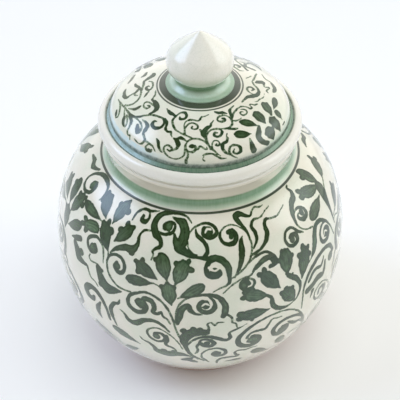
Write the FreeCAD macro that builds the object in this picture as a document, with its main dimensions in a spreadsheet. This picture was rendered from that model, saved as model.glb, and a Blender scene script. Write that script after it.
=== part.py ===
"""A wheel-thrown stoneware ginger jar: a globular body, a domed lid that drops into its mouth, and the
lid's pointed knob, which the potter throws apart and lutes on.

Every piece is turned about +Z. The jar stands on z = 0 and the origin is the centre of its foot.
Lengths are in millimetres. Arcs of the outline are given by their centre, radius and the angle of their
ends above the horizontal, so that the clay's inner face is the same arcs with the wall taken off.
"""
import FreeCAD, Part
import os
import re

import Sketcher

# alias, value, what it sizes
DIMENSIONS = [
    # body, outside
    ("foot_radius", 45.2, "radius of the turned foot ring at the ground"),
    ("foot_height", 3.2, "height of the foot ring below the swelling wall"),
    ("foot_bevel", 0.8, "bevel turned on the foot's outer and inner edges"),
    ("foot_inner_radius", 38.5, "radius of the recess inside the foot ring"),
    ("foot_recess", 3.0, "depth of the recess under the floor"),
    ("belly_radius", 70.0, "largest radius of the body"),
    ("belly_height", 57.6, "height of the widest point"),
    ("lower_arc", 74.7, "radius of the outline below the belly"),
    ("upper_arc", 90.6, "radius of the outline above the belly"),
    ("upper_end", 18.5, "angle where the upper outline turns into the shoulder"),
    ("shoulder_arc", 33.6, "radius of the shoulder's outline"),
    ("shoulder_end", 67.6, "angle where the shoulder turns into the neck"),
    ("cove_arc", 4.6, "radius of the hollow between shoulder and neck"),
    ("cove_top", 111.6, "height where that hollow meets the neck"),
    ("neck_radius", 43.3, "radius of the neck at its waist"),
    ("neck_arc", 26.0, "radius of the neck's slightly hollow wall"),
    ("rim_radius", 45.2, "outer radius of the mouth's rim"),
    ("rim_low", 118.6, "height where the neck meets the rim"),
    # body, inside
    ("wall", 4.5, "thickness of the body's wall"),
    ("floor_height", 8.0, "height of the floor's top face"),
    ("floor_radius", 40.0, "radius of the flat part of the floor"),
    ("floor_edge_height", 12.5, "height where the floor's sloping edge meets the hollow's wall"),
    ("mouth_radius", 39.0, "radius of the mouth"),
    ("mouth_low", 110.5, "height where the mouth's bore meets the hollow"),
    ("seat_height", 121.2, "height of the rim's top, where the lid sits"),
    ("rim_rounding", 1.3, "rounding of the rim's two edges"),
    # lid
    ("flange_radius", 46.9, "outer radius of the lid's flange"),
    ("flange_roll", 3.2, "radius of the flange's round edge"),
    ("groove_radius", 42.6, "radius of the groove between dome and flange"),
    ("groove_depth", 0.9, "depth of the groove below the flange's crest"),
    ("dome_foot_radius", 41.3, "radius of the dome at the groove"),
    ("dome_foot_height", 128.6, "height of the dome's foot"),
    ("haunch_radius", 36.3, "radius where the steep haunch meets the crown"),
    ("haunch_height", 136.3, "height of that point"),
    ("haunch_arc", 9.0, "radius of the haunch's outline"),
    ("crown_radius", 19.6, "radius where the crown meets the rise to the knob"),
    ("crown_height", 142.8, "height of that point"),
    ("crown_arc", 46.0, "radius of the crown's outline"),
    ("luting_radius", 15.5, "radius of the flat that the knob is luted to"),
    ("luting_height", 144.0, "height of that flat"),
    ("ceiling_radius", 12.0, "radius of the flat under the knob"),
    ("ceiling_height", 139.9, "height of that flat"),
    ("lid_wall", 4.0, "thickness of the dome's wall at the haunch"),
    ("collar_radius", 37.8, "outer radius of the collar that drops into the mouth"),
    ("collar_inner_radius", 34.2, "inner radius of the collar"),
    ("collar_depth", 8.5, "depth of the collar below the seat"),
    ("collar_rounding", 1.2, "rounding of the collar's lower edges"),
    ("groove_rounding", 0.6, "rounding at the bottom of the groove"),
    # knob
    ("flare_lip", 0.5, "thickness of the flare's edge on the lid"),
    ("flare_arc", 7.0, "radius of the flare's hollow outline"),
    ("crease_rounding", 0.9, "rounding of the crease between flare and bulb"),
    ("bulb_radius", 15.15, "largest radius of the knob"),
    ("bulb_height", 156.2, "height of the knob's widest point"),
    ("bulb_arc", 8.4, "radius of the bulb's outline"),
    ("bulb_under", 65.0, "angle below the horizontal where the bulb meets the flare"),
    ("cone_start", 49.4, "angle where the bulb turns into the pointed top"),
    ("cone_arc", 110.0, "radius of the pointed top's barely swelling outline"),
    ("tip_arc", 1.4, "radius of the rounded tip"),
    ("tip_centre", 170.1, "height of the tip's centre"),
    ("tip_start", 56.0, "angle where the pointed top turns into the rounded tip"),
]
NAMES = {name for name, _, _ in DIMENSIONS}
OUTPUT_FOLDER = "parts"


def fill_sheet(sheet):
    """Puts each driving dimension in a row of its own: value, then its description."""
    for row, (name, value, purpose) in enumerate(DIMENSIONS, start=1):
        sheet.set(f"A{row}", str(value))
        sheet.setAlias(f"A{row}", name)
        sheet.set(f"B{row}", purpose)


def formula(text):
    """The text with each dimension's name written as FreeCAD's expressions want it."""
    return re.sub(r"[a-z_]+", lambda m: "dims." + m.group() if m.group() in NAMES else m.group(), text)


def at_angle(centre, radius, angle):
    """The (radius, height) formulas of the point on an arc at an angle above the horizontal."""
    return (
        f"({centre[0]}) + ({radius}) * cos({angle})",
        f"({centre[1]}) + ({radius}) * sin({angle})",
    )


class Outline:
    """A closed half section in the XZ plane, made of lines and arcs whose corners follow the sheet."""

    def __init__(self, body, name, start):
        self.sheet = body.Document.getObject("dims")
        self.sketch = body.newObject("Sketcher::SketchObject", name)
        plane = next(f for f in body.Origin.OriginFeatures if f.Role == "XZ_Plane")
        self.sketch.AttachmentSupport = [(plane, "")]
        self.sketch.MapMode = "FlatFace"
        self.start = start
        self.here = start
        self.first = None
        self.last = None

    def value(self, text):
        return float(self.sheet.evalExpression(formula(text)))

    def point(self, corner):
        return FreeCAD.Vector(self.value(corner[0]), self.value(corner[1]), 0)

    def bind(self, kind, *target, text):
        """A dimension of the sketch that follows a formula."""
        index = self.sketch.addConstraint(Sketcher.Constraint(kind, *target, self.value(text)))
        self.sketch.setExpression(f"Constraints[{index}]", formula(text))

    def pin(self, end, corner):
        """Holds the end of a line or arc at its corner, and on an axis where a coordinate is 0."""
        for kind, text, axis in (("DistanceX", corner[0], -2), ("DistanceY", corner[1], -1)):
            if text == "0":
                self.sketch.addConstraint(Sketcher.Constraint("PointOnObject", *end, axis))
            else:
                self.bind(kind, *end, text=text)

    def join(self, begin, end, corner, closing):
        if self.first is None:
            self.first = begin
            self.pin(begin, self.start)
        else:
            self.sketch.addConstraint(Sketcher.Constraint("Coincident", *self.last, *begin))
        if closing:
            self.sketch.addConstraint(Sketcher.Constraint("Coincident", *end, *self.first))
        else:
            self.pin(end, corner)
        self.last = end
        self.here = corner

    def line(self, corner, closing=False):
        geometry = Part.LineSegment(self.point(self.here), self.point(corner))
        index = self.sketch.addGeometry(geometry, False)
        self.join((index, 1), (index, 2), corner, closing)
        return self

    def arc(self, corner, radius, turn):
        """An arc to a corner. turn is 1 where it bends to the left of the way drawn, and -1 to the right."""
        begin, end, size = self.point(self.here), self.point(corner), self.value(radius)
        chord = end - begin
        rise = (size**2 - (chord.Length / 2) ** 2) ** 0.5
        left = FreeCAD.Vector(-chord.y, chord.x, 0).normalize()
        centre = (begin + end) * 0.5 + left * (turn * rise)
        middle = centre + ((begin + end) * 0.5 - centre).normalize() * size
        index = self.sketch.addGeometry(Part.Arc(begin, middle, end), False)
        ends = ((index, 1), (index, 2)) if turn > 0 else ((index, 2), (index, 1))
        self.join(*ends, corner, False)
        self.bind("Radius", index, text=radius)
        return self

    def close(self):
        self.line(self.start, closing=True)
        return self.sketch


def turned(body, kind, name, sketch):
    """Turns a half section about +Z: Revolution adds clay and Groove takes it away."""
    feature = body.newObject(f"PartDesign::{kind}", name)
    feature.Profile = sketch
    feature.ReferenceAxis = (sketch, ["V_Axis"])
    feature.Angle = 360
    sketch.Visibility = False
    body.Document.recompute()
    return feature


def rounded(body, kind, name, rings, size):
    """A Fillet or Chamfer of the circular edges whose (radius, height) formulas are given."""
    sheet, base = body.Document.getObject("dims"), body.Tip
    wanted = [[float(sheet.evalExpression(formula(text))) for text in ring] for ring in rings]
    found = [
        f"Edge{i}"
        for i, edge in enumerate(base.Shape.Edges, start=1)
        if not edge.Degenerated
        and isinstance(edge.Curve, Part.Circle)
        and any(
            abs(edge.Curve.Radius - r) < 0.01 and abs(edge.Curve.Center.z - z) < 0.01
            for r, z in wanted
        )
    ]
    if len(found) != len(rings):
        raise RuntimeError(f"{name}: {len(found)} edges found for {len(rings)} rings")
    feature = body.newObject(f"PartDesign::{kind}", name)
    feature.Base = (base, found)
    prop = "Radius" if kind == "Fillet" else "Size"
    setattr(feature, prop, float(sheet.evalExpression(formula(size))))
    feature.setExpression(prop, formula(size))
    body.Document.recompute()
    return feature


def new_body(doc, name):
    body = doc.addObject("PartDesign::Body", name)
    body.Label = name
    return body


# The centres that the body's arcs share between the outer and the inner face.
LOWER_CENTRE = ("belly_radius - lower_arc", "belly_height")
UPPER_CENTRE = ("belly_radius - upper_arc", "belly_height")
SHOULDER_CENTRE = at_angle(UPPER_CENTRE, "upper_arc - shoulder_arc", "upper_end")


def jar_body(doc):
    """The thrown pot: its outer form, the hollow, and the recess turned under it."""
    body = new_body(doc, "jar_body")
    swell_radius = "belly_radius - lower_arc + sqrt(lower_arc^2 - (belly_height - foot_height)^2)"
    form = (
        Outline(body, "outer_form_section", ("0", "0"))
        .line(("foot_radius", "0"))
        .line((swell_radius, "foot_height"))
        .arc(("belly_radius", "belly_height"), "lower_arc", 1)
        .arc(at_angle(UPPER_CENTRE, "upper_arc", "upper_end"), "upper_arc", 1)
        .arc(at_angle(SHOULDER_CENTRE, "shoulder_arc", "shoulder_end"), "shoulder_arc", 1)
        .arc(("neck_radius", "cove_top"), "cove_arc", -1)
        .arc(("rim_radius", "rim_low"), "neck_arc", -1)
        .line(("rim_radius", "seat_height"))
        .line(("0", "seat_height"))
        .close()
    )
    turned(body, "Revolution", "outer_form", form)

    floor_edge = "belly_radius - lower_arc + sqrt((lower_arc - wall)^2 - (belly_height - floor_edge_height)^2)"
    hollow = (
        Outline(body, "hollow_section", ("0", "floor_height"))
        .line(("floor_radius", "floor_height"))
        .line((floor_edge, "floor_edge_height"))
        .arc(("belly_radius - wall", "belly_height"), "lower_arc - wall", 1)
        .arc(at_angle(UPPER_CENTRE, "upper_arc - wall", "upper_end"), "upper_arc - wall", 1)
        .arc(at_angle(SHOULDER_CENTRE, "shoulder_arc - wall", "shoulder_end - 6"), "shoulder_arc - wall", 1)
        .line(("mouth_radius", "mouth_low"))
        .line(("mouth_radius", "seat_height"))
        .line(("0", "seat_height"))
        .close()
    )
    turned(body, "Groove", "hollow", hollow)

    recess = (
        Outline(body, "foot_recess_section", ("0", "0"))
        .line(("foot_inner_radius", "0"))
        .line(("foot_inner_radius - foot_bevel", "foot_recess"))
        .line(("0", "foot_recess"))
        .close()
    )
    turned(body, "Groove", "foot_recess", recess)

    rounded(body, "Chamfer", "foot_edges",
            [("foot_radius", "0"), ("foot_inner_radius", "0")], "foot_bevel")
    rounded(body, "Fillet", "rim_edges",
            [("rim_radius", "seat_height"), ("mouth_radius", "seat_height")], "rim_rounding")
    return body


def lid(doc):
    """The lid, thrown upside down: dome, round flange and the collar that keeps it in the mouth."""
    body = new_body(doc, "lid")
    roll = ("flange_radius - flange_roll", "seat_height + flange_roll")
    crest_height = "seat_height + 2 * flange_roll"
    groove = ("groove_radius", crest_height + " - groove_depth")
    collar_foot = "seat_height - collar_depth"
    form = (
        Outline(body, "lid_form_section", ("0", "luting_height"))
        .line(("0", "ceiling_height"))
        .line(("ceiling_radius", "ceiling_height"))
        .arc(("haunch_radius - lid_wall", "haunch_height - 0.8 * lid_wall"), "crown_arc", -1)
        .arc(("collar_inner_radius", crest_height), "haunch_arc - 0.5 * lid_wall", -1)
        .line(("collar_inner_radius", collar_foot))
        .line(("collar_radius", collar_foot))
        .line(("collar_radius", "seat_height"))
        .line((roll[0], "seat_height"))
        .arc(("flange_radius", roll[1]), "flange_roll", 1)
        .arc((roll[0], crest_height), "flange_roll", 1)
        .line(groove)
        .line(("dome_foot_radius", "dome_foot_height"))
        .arc(("haunch_radius", "haunch_height"), "haunch_arc", 1)
        .arc(("crown_radius", "crown_height"), "crown_arc", 1)
        .line(("luting_radius", "luting_height"))
        .close()
    )
    turned(body, "Revolution", "lid_form", form)
    rounded(body, "Fillet", "collar_edges",
            [("collar_radius", collar_foot), ("collar_inner_radius", collar_foot)], "collar_rounding")
    rounded(body, "Fillet", "groove_bottom", [groove], "groove_rounding")
    return body


def lid_knob(doc):
    """The knob: a flare that is luted to the lid, a bulb and a blunt conical point."""
    body = new_body(doc, "lid_knob")
    bulb_centre = ("bulb_radius - bulb_arc", "bulb_height")
    crease = at_angle(bulb_centre, "bulb_arc", "0 - bulb_under")
    form = (
        Outline(body, "knob_section", ("0", "luting_height"))
        .line(("luting_radius", "luting_height"))
        .line(("luting_radius", "luting_height + flare_lip"))
        .arc(crease, "flare_arc", -1)
        .arc(("bulb_radius", "bulb_height"), "bulb_arc", 1)
        .arc(at_angle(bulb_centre, "bulb_arc", "cone_start"), "bulb_arc", 1)
        .arc(at_angle(("0", "tip_centre"), "tip_arc", "tip_start"), "cone_arc", 1)
        .arc(("0", "tip_centre + tip_arc"), "tip_arc", 1)
        .close()
    )
    turned(body, "Revolution", "knob_form", form)
    rounded(body, "Fillet", "crease", [crease], "crease_rounding")
    return body


def check(doc, bodies):
    """Stops at a failed feature or a bad solid, before anything is written."""
    for item in doc.Objects:
        if {"Invalid", "Error"} & set(item.State):
            raise RuntimeError(f"{item.Name} failed: {item.State}")
        if item.TypeId == "Sketcher::SketchObject" and item.solve() != 0:
            raise RuntimeError(f"sketch {item.Name} has no solution")
    for body in bodies:
        shape = body.Shape
        if shape.isNull() or not shape.isValid() or len(shape.Solids) != 1:
            raise RuntimeError(f"{body.Label} isn't one valid solid")


def main():
    doc = FreeCAD.newDocument("ginger_jar")
    sheet = doc.addObject("Spreadsheet::Sheet", "dims")
    fill_sheet(sheet)
    doc.recompute()
    bodies = [jar_body(doc), lid(doc), lid_knob(doc)]
    doc.recompute()
    check(doc, bodies)
    os.makedirs(OUTPUT_FOLDER, exist_ok=True)
    for body in bodies:
        body.Shape.exportStep(os.path.join(OUTPUT_FOLDER, body.Label + ".step"))
        box = body.Shape.BoundBox
        print(f"{body.Label}: {box.XLength:.1f} x {box.YLength:.1f} x {box.ZLength:.1f} mm,"
              f" {body.Shape.Volume / 1000:.1f} cm3")


main()
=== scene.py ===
"""The looks of a lidded ginger jar: celadon glaze, underglaze brushwork, camera and studio light."""
import math
import random

import bpy
import numpy as np
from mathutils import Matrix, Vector
from mathutils.bvhtree import BVHTree
from mathutils.geometry import delaunay_2d_cdt


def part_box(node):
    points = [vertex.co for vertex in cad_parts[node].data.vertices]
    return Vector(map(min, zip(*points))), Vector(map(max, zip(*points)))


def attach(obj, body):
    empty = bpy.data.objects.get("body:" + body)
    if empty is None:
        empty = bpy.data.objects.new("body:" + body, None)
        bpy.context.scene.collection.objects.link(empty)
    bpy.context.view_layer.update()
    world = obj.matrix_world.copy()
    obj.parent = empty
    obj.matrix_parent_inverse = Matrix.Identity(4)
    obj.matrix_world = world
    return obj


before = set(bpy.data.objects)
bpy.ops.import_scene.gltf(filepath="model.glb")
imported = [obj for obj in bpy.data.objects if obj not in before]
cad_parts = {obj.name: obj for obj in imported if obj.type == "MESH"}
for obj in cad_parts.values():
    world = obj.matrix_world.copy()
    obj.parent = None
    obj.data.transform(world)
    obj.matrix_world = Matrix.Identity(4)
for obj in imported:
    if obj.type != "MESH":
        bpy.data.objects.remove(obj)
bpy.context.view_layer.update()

MM = 0.001

BODY_ROLL_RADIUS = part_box("jar_body")[1][0] / MM
LID_ROLL_RADIUS = 30.0
FOOT_TOP = 3.2
SHOULDER_TOP = 106.8

# Brushwork on the belly, in millimetres on the unrolled jar. Across is the distance round the belly from
# the middle of the front, rightwards. Up is the distance along the wall from the top of the foot.
# A stroke is the points that the brush passes and its widths, spread evenly along it.
BIG_SPIRAL = [
    ([(58, 39), (55.8, 45), (52.5, 51.5), (48, 57), (42, 60.7), (35, 61.7), (28, 60.4), (22.3, 57),
      (18.6, 52.8), (18, 48.5), (20.3, 44.6), (24.5, 43.2), (27.8, 45), (28, 48.5), (25.5, 50.3)],
     [1.4, 1.3, 1.2, 1.1, 1.1, 1.2, 1.5, 2.2, 2.6, 3.0, 3.2, 3.4, 3.8, 3.8, 3.6]),
    ([(23.5, 48), (22.3, 51), (24.5, 53.7), (28, 53.9), (31.2, 53.5), (32.8, 56), (34.5, 58.6),
      (37, 58.2), (40, 57.6)], [1.6, 1.6, 1.6, 2.0, 1.8, 1.4, 1.1, 0.9, 0.5]),
]
TWIN_SPIRAL = [
    ([(56, 42), (55, 46.5), (52, 50.5), (47.5, 53), (42.5, 54.2), (38, 52.8), (36, 49.5), (37.5, 45.5),
      (41, 43.8), (44, 45.5), (43.8, 48.5), (41.3, 49.3)],
     [1.6, 1.8, 2.0, 2.0, 2.2, 2.4, 2.6, 2.8, 3.0, 3.0, 2.6, 2.0]),
    ([(44.5, 51), (47, 48.5), (50, 46.3), (53, 45.5), (55, 43)], [1.0, 2.2, 2.2, 1.8, 1.2]),
]
TENDRILS = [
    ([(4.5, 31), (2.5, 34.5), (0.8, 38), (1.2, 42), (4, 45), (8, 45.8), (11.5, 43.8), (12.6, 40.5),
      (11, 38.3), (8, 38.2), (6.3, 40.3), (7.5, 42.3), (9.3, 41.5)],
     [1.0, 1.3, 1.2, 1.1, 1.3, 1.5, 1.8, 2.0, 2.2, 2.4, 2.4, 2.2, 1.8]),
    ([(9, 28.5), (8.8, 31.5), (10.5, 34.3), (14.5, 34.8), (18.5, 34.3), (19.3, 35.5), (17.8, 37),
      (17.2, 39.5), (19, 40.6), (22.5, 39.8), (25.5, 40.4), (28.5, 40)],
     [1.0, 1.8, 2.0, 2.2, 2.2, 2.0, 1.8, 1.5, 1.3, 1.2, 1.0, 0.6]),
]
CREEPER = [
    ([(-29, 48.8), (-27.5, 46.6), (-24.5, 45.3), (-22.3, 42.5), (-21.5, 39), (-18, 37.8)],
     [0.7, 1.2, 1.8, 2.4, 2.8, 3.5]),
    ([(-20, 39), (-16, 38.6), (-11.5, 39.7), (-8, 39.3), (-4.5, 38)], [5.0, 6.0, 4.6, 3.0, 1.0]),
    ([(-3.5, 37), (-6, 34.5), (-8.5, 33.5)], [1.5, 3.6, 2.6]),
    ([(-6, 33.8), (-3.5, 32.2), (-1.8, 31.3)], [3.2, 3.0, 1.6]),
]
ARCH = [
    ([(-10.5, 63), (-11, 68), (-10, 74), (-6.5, 78.5), (-1, 80.7), (5, 80.8), (9, 78.8), (11.3, 75),
      (11.5, 71), (10.5, 68.3)], [0.9, 1.0, 1.0, 1.0, 1.2, 2.0, 2.6, 3.2, 3.4, 2.6]),
    ([(12.5, 69), (14.5, 66.8), (14.8, 64), (16.5, 62.5), (16.9, 60.2)], [1.5, 0.8]),
    ([(4, 80.3), (6.2, 77.5), (6.8, 74.5), (5, 71.8), (1.8, 71.5), (-0.5, 74), (0.5, 77), (3.3, 76.8),
      (3, 74.8)], [1.0, 1.6, 2.6, 2.8, 2.6, 2.4, 2.4, 2.0, 1.5]),
]
CURL = [
    ([(-8.3, 45), (-10, 50), (-13, 54.5), (-17, 57.8), (-20.5, 58.6), (-24, 56.5), (-24.7, 53),
      (-22.8, 49.8), (-20, 48.7), (-17.2, 50), (-16.3, 52.8), (-18, 55.3), (-21, 54.8), (-21.2, 52.2)],
     [0.8, 0.9, 1.1, 1.5, 1.8, 2.0, 1.6]),
    ([(-15.5, 54.5), (-15, 51.5), (-16.3, 48), (-15.5, 46.3), (-13.5, 45.5), (-12, 44), (-11.3, 42.5)],
     [1.4, 1.8, 1.8, 1.6, 1.4, 1.1, 0.7]),
]
STEM_STROKES = [
    ([(2, 33), (-2.5, 38), (-5, 42.5), (-6.2, 47), (-8.8, 53), (-11, 60), (-12.3, 66), (-14.5, 71.5),
      (-18, 75.7), (-22, 78), (-26, 78.5), (-29.5, 77), (-33, 74.5), (-34.2, 71), (-33, 67.8),
      (-29.5, 66), (-26, 67.5), (-25, 70.5), (-26.5, 73.2)],
     [1.0, 1.1, 1.2, 1.2, 1.3, 1.3, 1.5, 2.0, 2.5, 2.8, 2.6]),
    ([(-27, 72), (-26, 75), (-22.5, 74.5), (-21, 71.5), (-21.5, 68.5), (-19.5, 68), (-17.8, 69.2),
      (-16.8, 67), (-15, 65.8), (-13.6, 63.2)], [2.2, 3.0, 2.6, 2.2, 1.6, 1.2, 0.9]),
    ([(-33, 76.3), (-37, 76), (-41, 76.8), (-45.5, 80.5), (-47.5, 85.5), (-47, 89.5), (-44, 91.7),
      (-40, 91.5), (-37.5, 88.5), (-38, 85), (-40.5, 84), (-42.7, 86), (-42, 88.3)],
     [0.9, 1.1, 1.3, 1.6, 2.0, 2.4, 2.2]),
    ([(-48, 91.3), (-47.4, 88.5)], [0.8, 1.2]),
    ([(-1, 35), (-4.8, 40), (-6, 45)], [0.8, 1.0, 0.8]),
    ([(-5, 114.3), (-8, 117), (-13, 118.3), (-18, 118.3), (-23, 117.2), (-26.5, 114.5), (-27, 111),
      (-25, 107.5), (-21.5, 105), (-20.7, 102.5), (-23, 100.8), (-24.3, 99.5), (-23.7, 98), (-24.3, 95.5)],
     [0.8, 1.2, 1.6, 2.2, 2.8, 3.8, 4.0, 4.0, 2.6, 2.2, 1.8, 1.2, 1.0, 0.9]),
    ([(-24, 108.5), (-20, 107.8), (-16, 109), (-14.6, 111.5), (-15.5, 113.3), (-18.5, 113.8),
      (-21.3, 112), (-20.5, 110.3), (-18, 111)], [1.2, 1.6, 2.0, 2.0, 1.6, 1.3, 1.5, 1.8, 1.8]),
    ([(-17.3, 116.2), (-14, 115), (-10.3, 113.8), (-8.5, 110), (-9.5, 106), (-11, 103.5)],
     [0.6, 2.4, 5.0, 5.6, 6.0, 5.6]),
    ([(-14.2, 108.3), (-13, 105.5), (-10.5, 102.8), (-6, 100.6), (-1, 99.2), (3, 99)],
     [1.6, 3.6, 5.0, 3.2, 1.5, 1.7]),
    ([(1, 113.8), (-3, 112.5), (-5.8, 110), (-7, 106.5), (-6, 103), (-3.5, 100.8), (-1.5, 100.2)],
     [0.9, 0.9]),
    ([(-6.3, 104), (-6.6, 107.5), (-5, 111), (-1, 113.5), (4, 114.3), (8, 112.8), (9.6, 110.2),
      (7.8, 108.2), (4.5, 107.9), (1.8, 109.5), (2.2, 111.9), (4.2, 112.2)],
     [0.8, 0.9, 1.0, 1.2, 1.4, 1.9, 2.2, 2.2, 2.4, 2.4, 2.2, 1.6]),
    ([(-2.5, 111.3), (-1.5, 108.8), (1, 107), (3.3, 104.5), (3.8, 101.5), (2.5, 99.5)],
     [1.2, 2.0, 2.2, 2.2, 2.2, 2.4]),
    ([(0, 99), (4, 98.6), (8, 98.6), (11.5, 97), (13.8, 93.5), (14, 89), (13.8, 86.5), (12, 85),
      (8, 83.3), (6, 82.3)], [1.6, 2.4, 3.2, 3.4, 3.5, 2.2, 1.8, 1.2, 0.9, 0.7]),
    ([(8, 98.5), (4.5, 97), (3, 94), (4, 91), (7, 89.9), (9.6, 91), (9.2, 92.6), (7.5, 92.8)],
     [2.5, 2.6, 2.6, 2.8, 2.6, 2.2, 1.8, 1.5]),
    ([(16.5, 88.5), (20, 94.5), (21.5, 100), (22, 104), (23.3, 106.3)], [0.8, 2.5, 3.6, 2.6, 0.7]),
    ([(15.5, 88.5), (20, 91), (24.5, 95), (26.8, 99.5), (27.4, 104), (25.5, 108.5), (21.5, 111.5),
      (17, 112.4), (13, 111), (11, 108.5), (12, 105.5), (15, 104), (18.5, 104.5), (20, 107),
      (18.5, 109.5), (15.8, 109.3)],
     [1.0, 1.0, 1.1, 1.1, 1.0, 0.9, 0.8, 0.8, 1.0, 1.6, 1.8, 2.2, 2.6, 2.8, 2.6, 2.4]),
    ([(10.7, 81.2), (15, 84.8), (20, 87.2), (24, 87.8), (26, 89.5)], [0.9, 1.0]),
    ([(25.5, 89.5), (28, 91.3), (32, 93.5), (35.5, 93.5), (37, 90.5), (35.5, 89)],
     [1.0, 2.4, 3.0, 2.8, 2.4, 1.4]),
    ([(23, 93.5), (28, 96), (33, 96.8), (36.5, 95), (38.8, 91), (37.5, 89.3), (34.8, 89.3)], [1.0, 2.2]),
    ([(22.5, 87), (25.8, 85), (25, 82), (21.5, 81.2), (19, 83), (19.8, 85.5), (22, 85.8), (23, 84)],
     [1.2, 1.6, 2.0, 2.4]),
    ([(28, 100), (30.5, 103), (31, 106.5), (30, 109.5), (32.5, 112), (37, 112), (40, 113), (43, 114.2),
      (46, 115)], [1.0, 1.8, 2.4, 2.0, 1.3, 0.9, 0.8, 0.7, 0.5]),
    ([(26.5, 97.3), (31, 98.5), (35, 101), (37.5, 104.5), (37.8, 108), (40, 110.2), (44, 109.6),
      (48, 109.6), (52, 111), (55.2, 112)], [1.3, 1.3, 2.2, 3.0, 2.4, 1.6, 1.0, 0.9, 0.7, 0.5]),
    ([(27.3, 103), (26.5, 108), (24.8, 111), (23.5, 113), (22.5, 115.5), (25.5, 116.5), (28.5, 115.2),
      (31.5, 114.2), (34, 116), (37, 117.3), (40, 116.5), (42.8, 116.7)],
     [1.2, 1.8, 2.2, 3.0, 3.6, 3.0, 2.0, 1.3, 1.2, 1.2, 0.9, 0.5]),
    ([(-49.8, 84.3), (-50.6, 89), (-52.5, 92.5), (-57, 94.3), (-61, 92.5), (-62.5, 90), (-61, 87),
      (-58, 86.2), (-55.5, 88), (-57, 90.3)], [0.7, 1.0, 1.3, 1.7, 2.0, 2.0, 2.2, 2.4, 2.4, 2.0]),
    ([(-46.8, 91.5), (-43.5, 95), (-39, 97), (-35, 97.5), (-33, 100.5), (-33.3, 104.5), (-31.5, 107.3),
      (-27.5, 108)], [0.8, 2.6, 3.4, 4.0, 2.4, 1.5, 1.3, 1.0]),
    ([(-41, 109.8), (-40.3, 113.5), (-37, 116.3), (-32.5, 116.3), (-29.5, 117), (-26.8, 117.6)],
     [1.2, 1.5, 1.7, 1.6, 1.0, 0.6]),
    ([(-32.5, 116), (-31.6, 113), (-33, 111), (-35.5, 111.5), (-35.5, 113.2)], [1.0, 1.8, 2.6, 2.6, 2.0]),
    ([(-37.8, 74.2), (-41.5, 73.2), (-45.5, 72.3), (-48.5, 74), (-51, 77.5), (-53, 80.5)],
     [0.6, 3.6, 6.0, 5.6, 4.0, 2.4]),
    ([(-49.5, 80), (-53.5, 81.7), (-57.5, 81.1), (-59.3, 82.4), (-59, 83.9)], [1.5, 1.2, 0.8, 0.9, 0.7]),
    ([(-75.5, 83.5), (-71, 85.5), (-68, 87)], [0.8, 3.2, 3.0]),
    ([(-72, 82.5), (-69, 80), (-67, 77.5), (-63, 76.8), (-60, 76.8), (-58, 74), (-56.5, 72.2),
      (-53.5, 71.4), (-51.6, 69.8)], [3.0, 5.0, 5.0, 2.4, 1.5, 1.2, 1.0, 0.8, 0.6]),
    ([(-45.3, 52), (-46.3, 58), (-49, 63), (-53, 66.3), (-57.5, 66.2), (-60, 63), (-58.5, 59.8),
      (-55.5, 59.5), (-54.5, 61.5)], [1.6, 2.0, 2.4, 3.0, 3.6, 3.8, 3.6, 3.0, 2.0]),
    ([(-41.5, 50), (-43.5, 57), (-43.8, 61), (-42, 65), (-39.5, 66.5), (-38.6, 69)],
     [1.0, 2.4, 2.6, 2.2, 1.6, 0.9]),
    ([(-50.3, 60.5), (-52.3, 56), (-52.5, 52), (-51, 49)], [1.0, 3.2, 3.0, 0.8]),
    ([(-14, 57.5), (-17, 61), (-21, 63), (-26, 61.8), (-30.5, 58.2), (-34, 58.5), (-36.3, 61.8),
      (-38.5, 63.2)], [0.8, 1.8, 2.2, 2.8, 3.6, 2.6, 1.3, 0.6]),
    ([(-18.5, 83), (-21, 84.2), (-24, 84.5)], [0.8, 0.8]),
    ([(-10, 63.5), (-9.3, 68), (-8.3, 72.5), (-5.5, 74.8), (-4.2, 72.3), (-2, 70.5), (1, 70)],
     [1.2, 3.0, 3.4, 3.2, 2.6, 1.6, 0.8]),
    ([(-5.5, 41), (-6.8, 48), (-7.3, 53), (-5, 57.5), (-1, 58.8), (2.5, 58.8)],
     [1.0, 2.5, 4.6, 6.0, 5.0, 4.0]),
    ([(3.5, 58), (4, 61.5), (3.4, 64), (5, 65), (6.8, 63.2), (8.2, 64.8), (11, 64.6)],
     [2.0, 1.4, 1.0, 0.9, 1.1, 0.9, 0.7]),
    ([(-6, 44), (-6, 48), (-4, 52), (-0.5, 54.8), (4, 55.6), (8, 54), (12, 52), (14, 53.5), (13.5, 57),
      (16, 58.5), (18.5, 59.5), (21.5, 61)], [1.0, 1.1, 1.3, 1.6, 2.2, 2.6, 2.2, 2.0, 1.5, 1.2, 1.0, 0.6]),
    ([(-0.5, 51.5), (1.2, 53.5), (4.5, 53), (6.5, 50.5), (5, 48.2), (2, 48.5), (0.5, 50.5)],
     [1.2, 1.6, 1.8, 2.4, 2.6, 2.4, 2.0]),
    ([(0, 51), (-1.5, 48), (-1, 45.5), (-1.3, 43), (-2.3, 41.5)], [1.8, 1.4, 1.4, 1.6, 0.9]),
    ([(31.5, 75), (34, 72.5), (34.3, 69.5), (35.5, 66.5), (38.5, 64), (43, 63), (46, 63.8), (48.5, 65.3),
      (50.3, 69), (50.5, 72.5), (49, 75.5), (47.5, 77.5), (44.5, 80), (43, 82)],
     [1.5, 1.8, 2.6, 2.8, 2.4, 1.4, 1.0, 1.2, 1.6, 2.0, 2.6, 3.0, 2.6, 1.6]),
    ([(52.3, 55), (52.3, 62), (53, 68), (56, 73.5), (60.5, 77), (66, 79.2), (71, 79.5), (76, 77.5),
      (78.5, 73)], [1.0, 1.1, 1.4, 2.0, 2.6, 2.4, 2.2, 2.4, 2.4]),
    ([(56.5, 69.5), (59, 72.3), (62, 73.5), (66, 72.5), (68, 74.3), (69, 76)],
     [1.8, 2.0, 2.0, 1.8, 1.4, 0.9]),
    ([(55.5, 64.5), (59, 65.5), (63.5, 67.3), (67.5, 66.5), (69.3, 69.5), (70, 73)],
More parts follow.
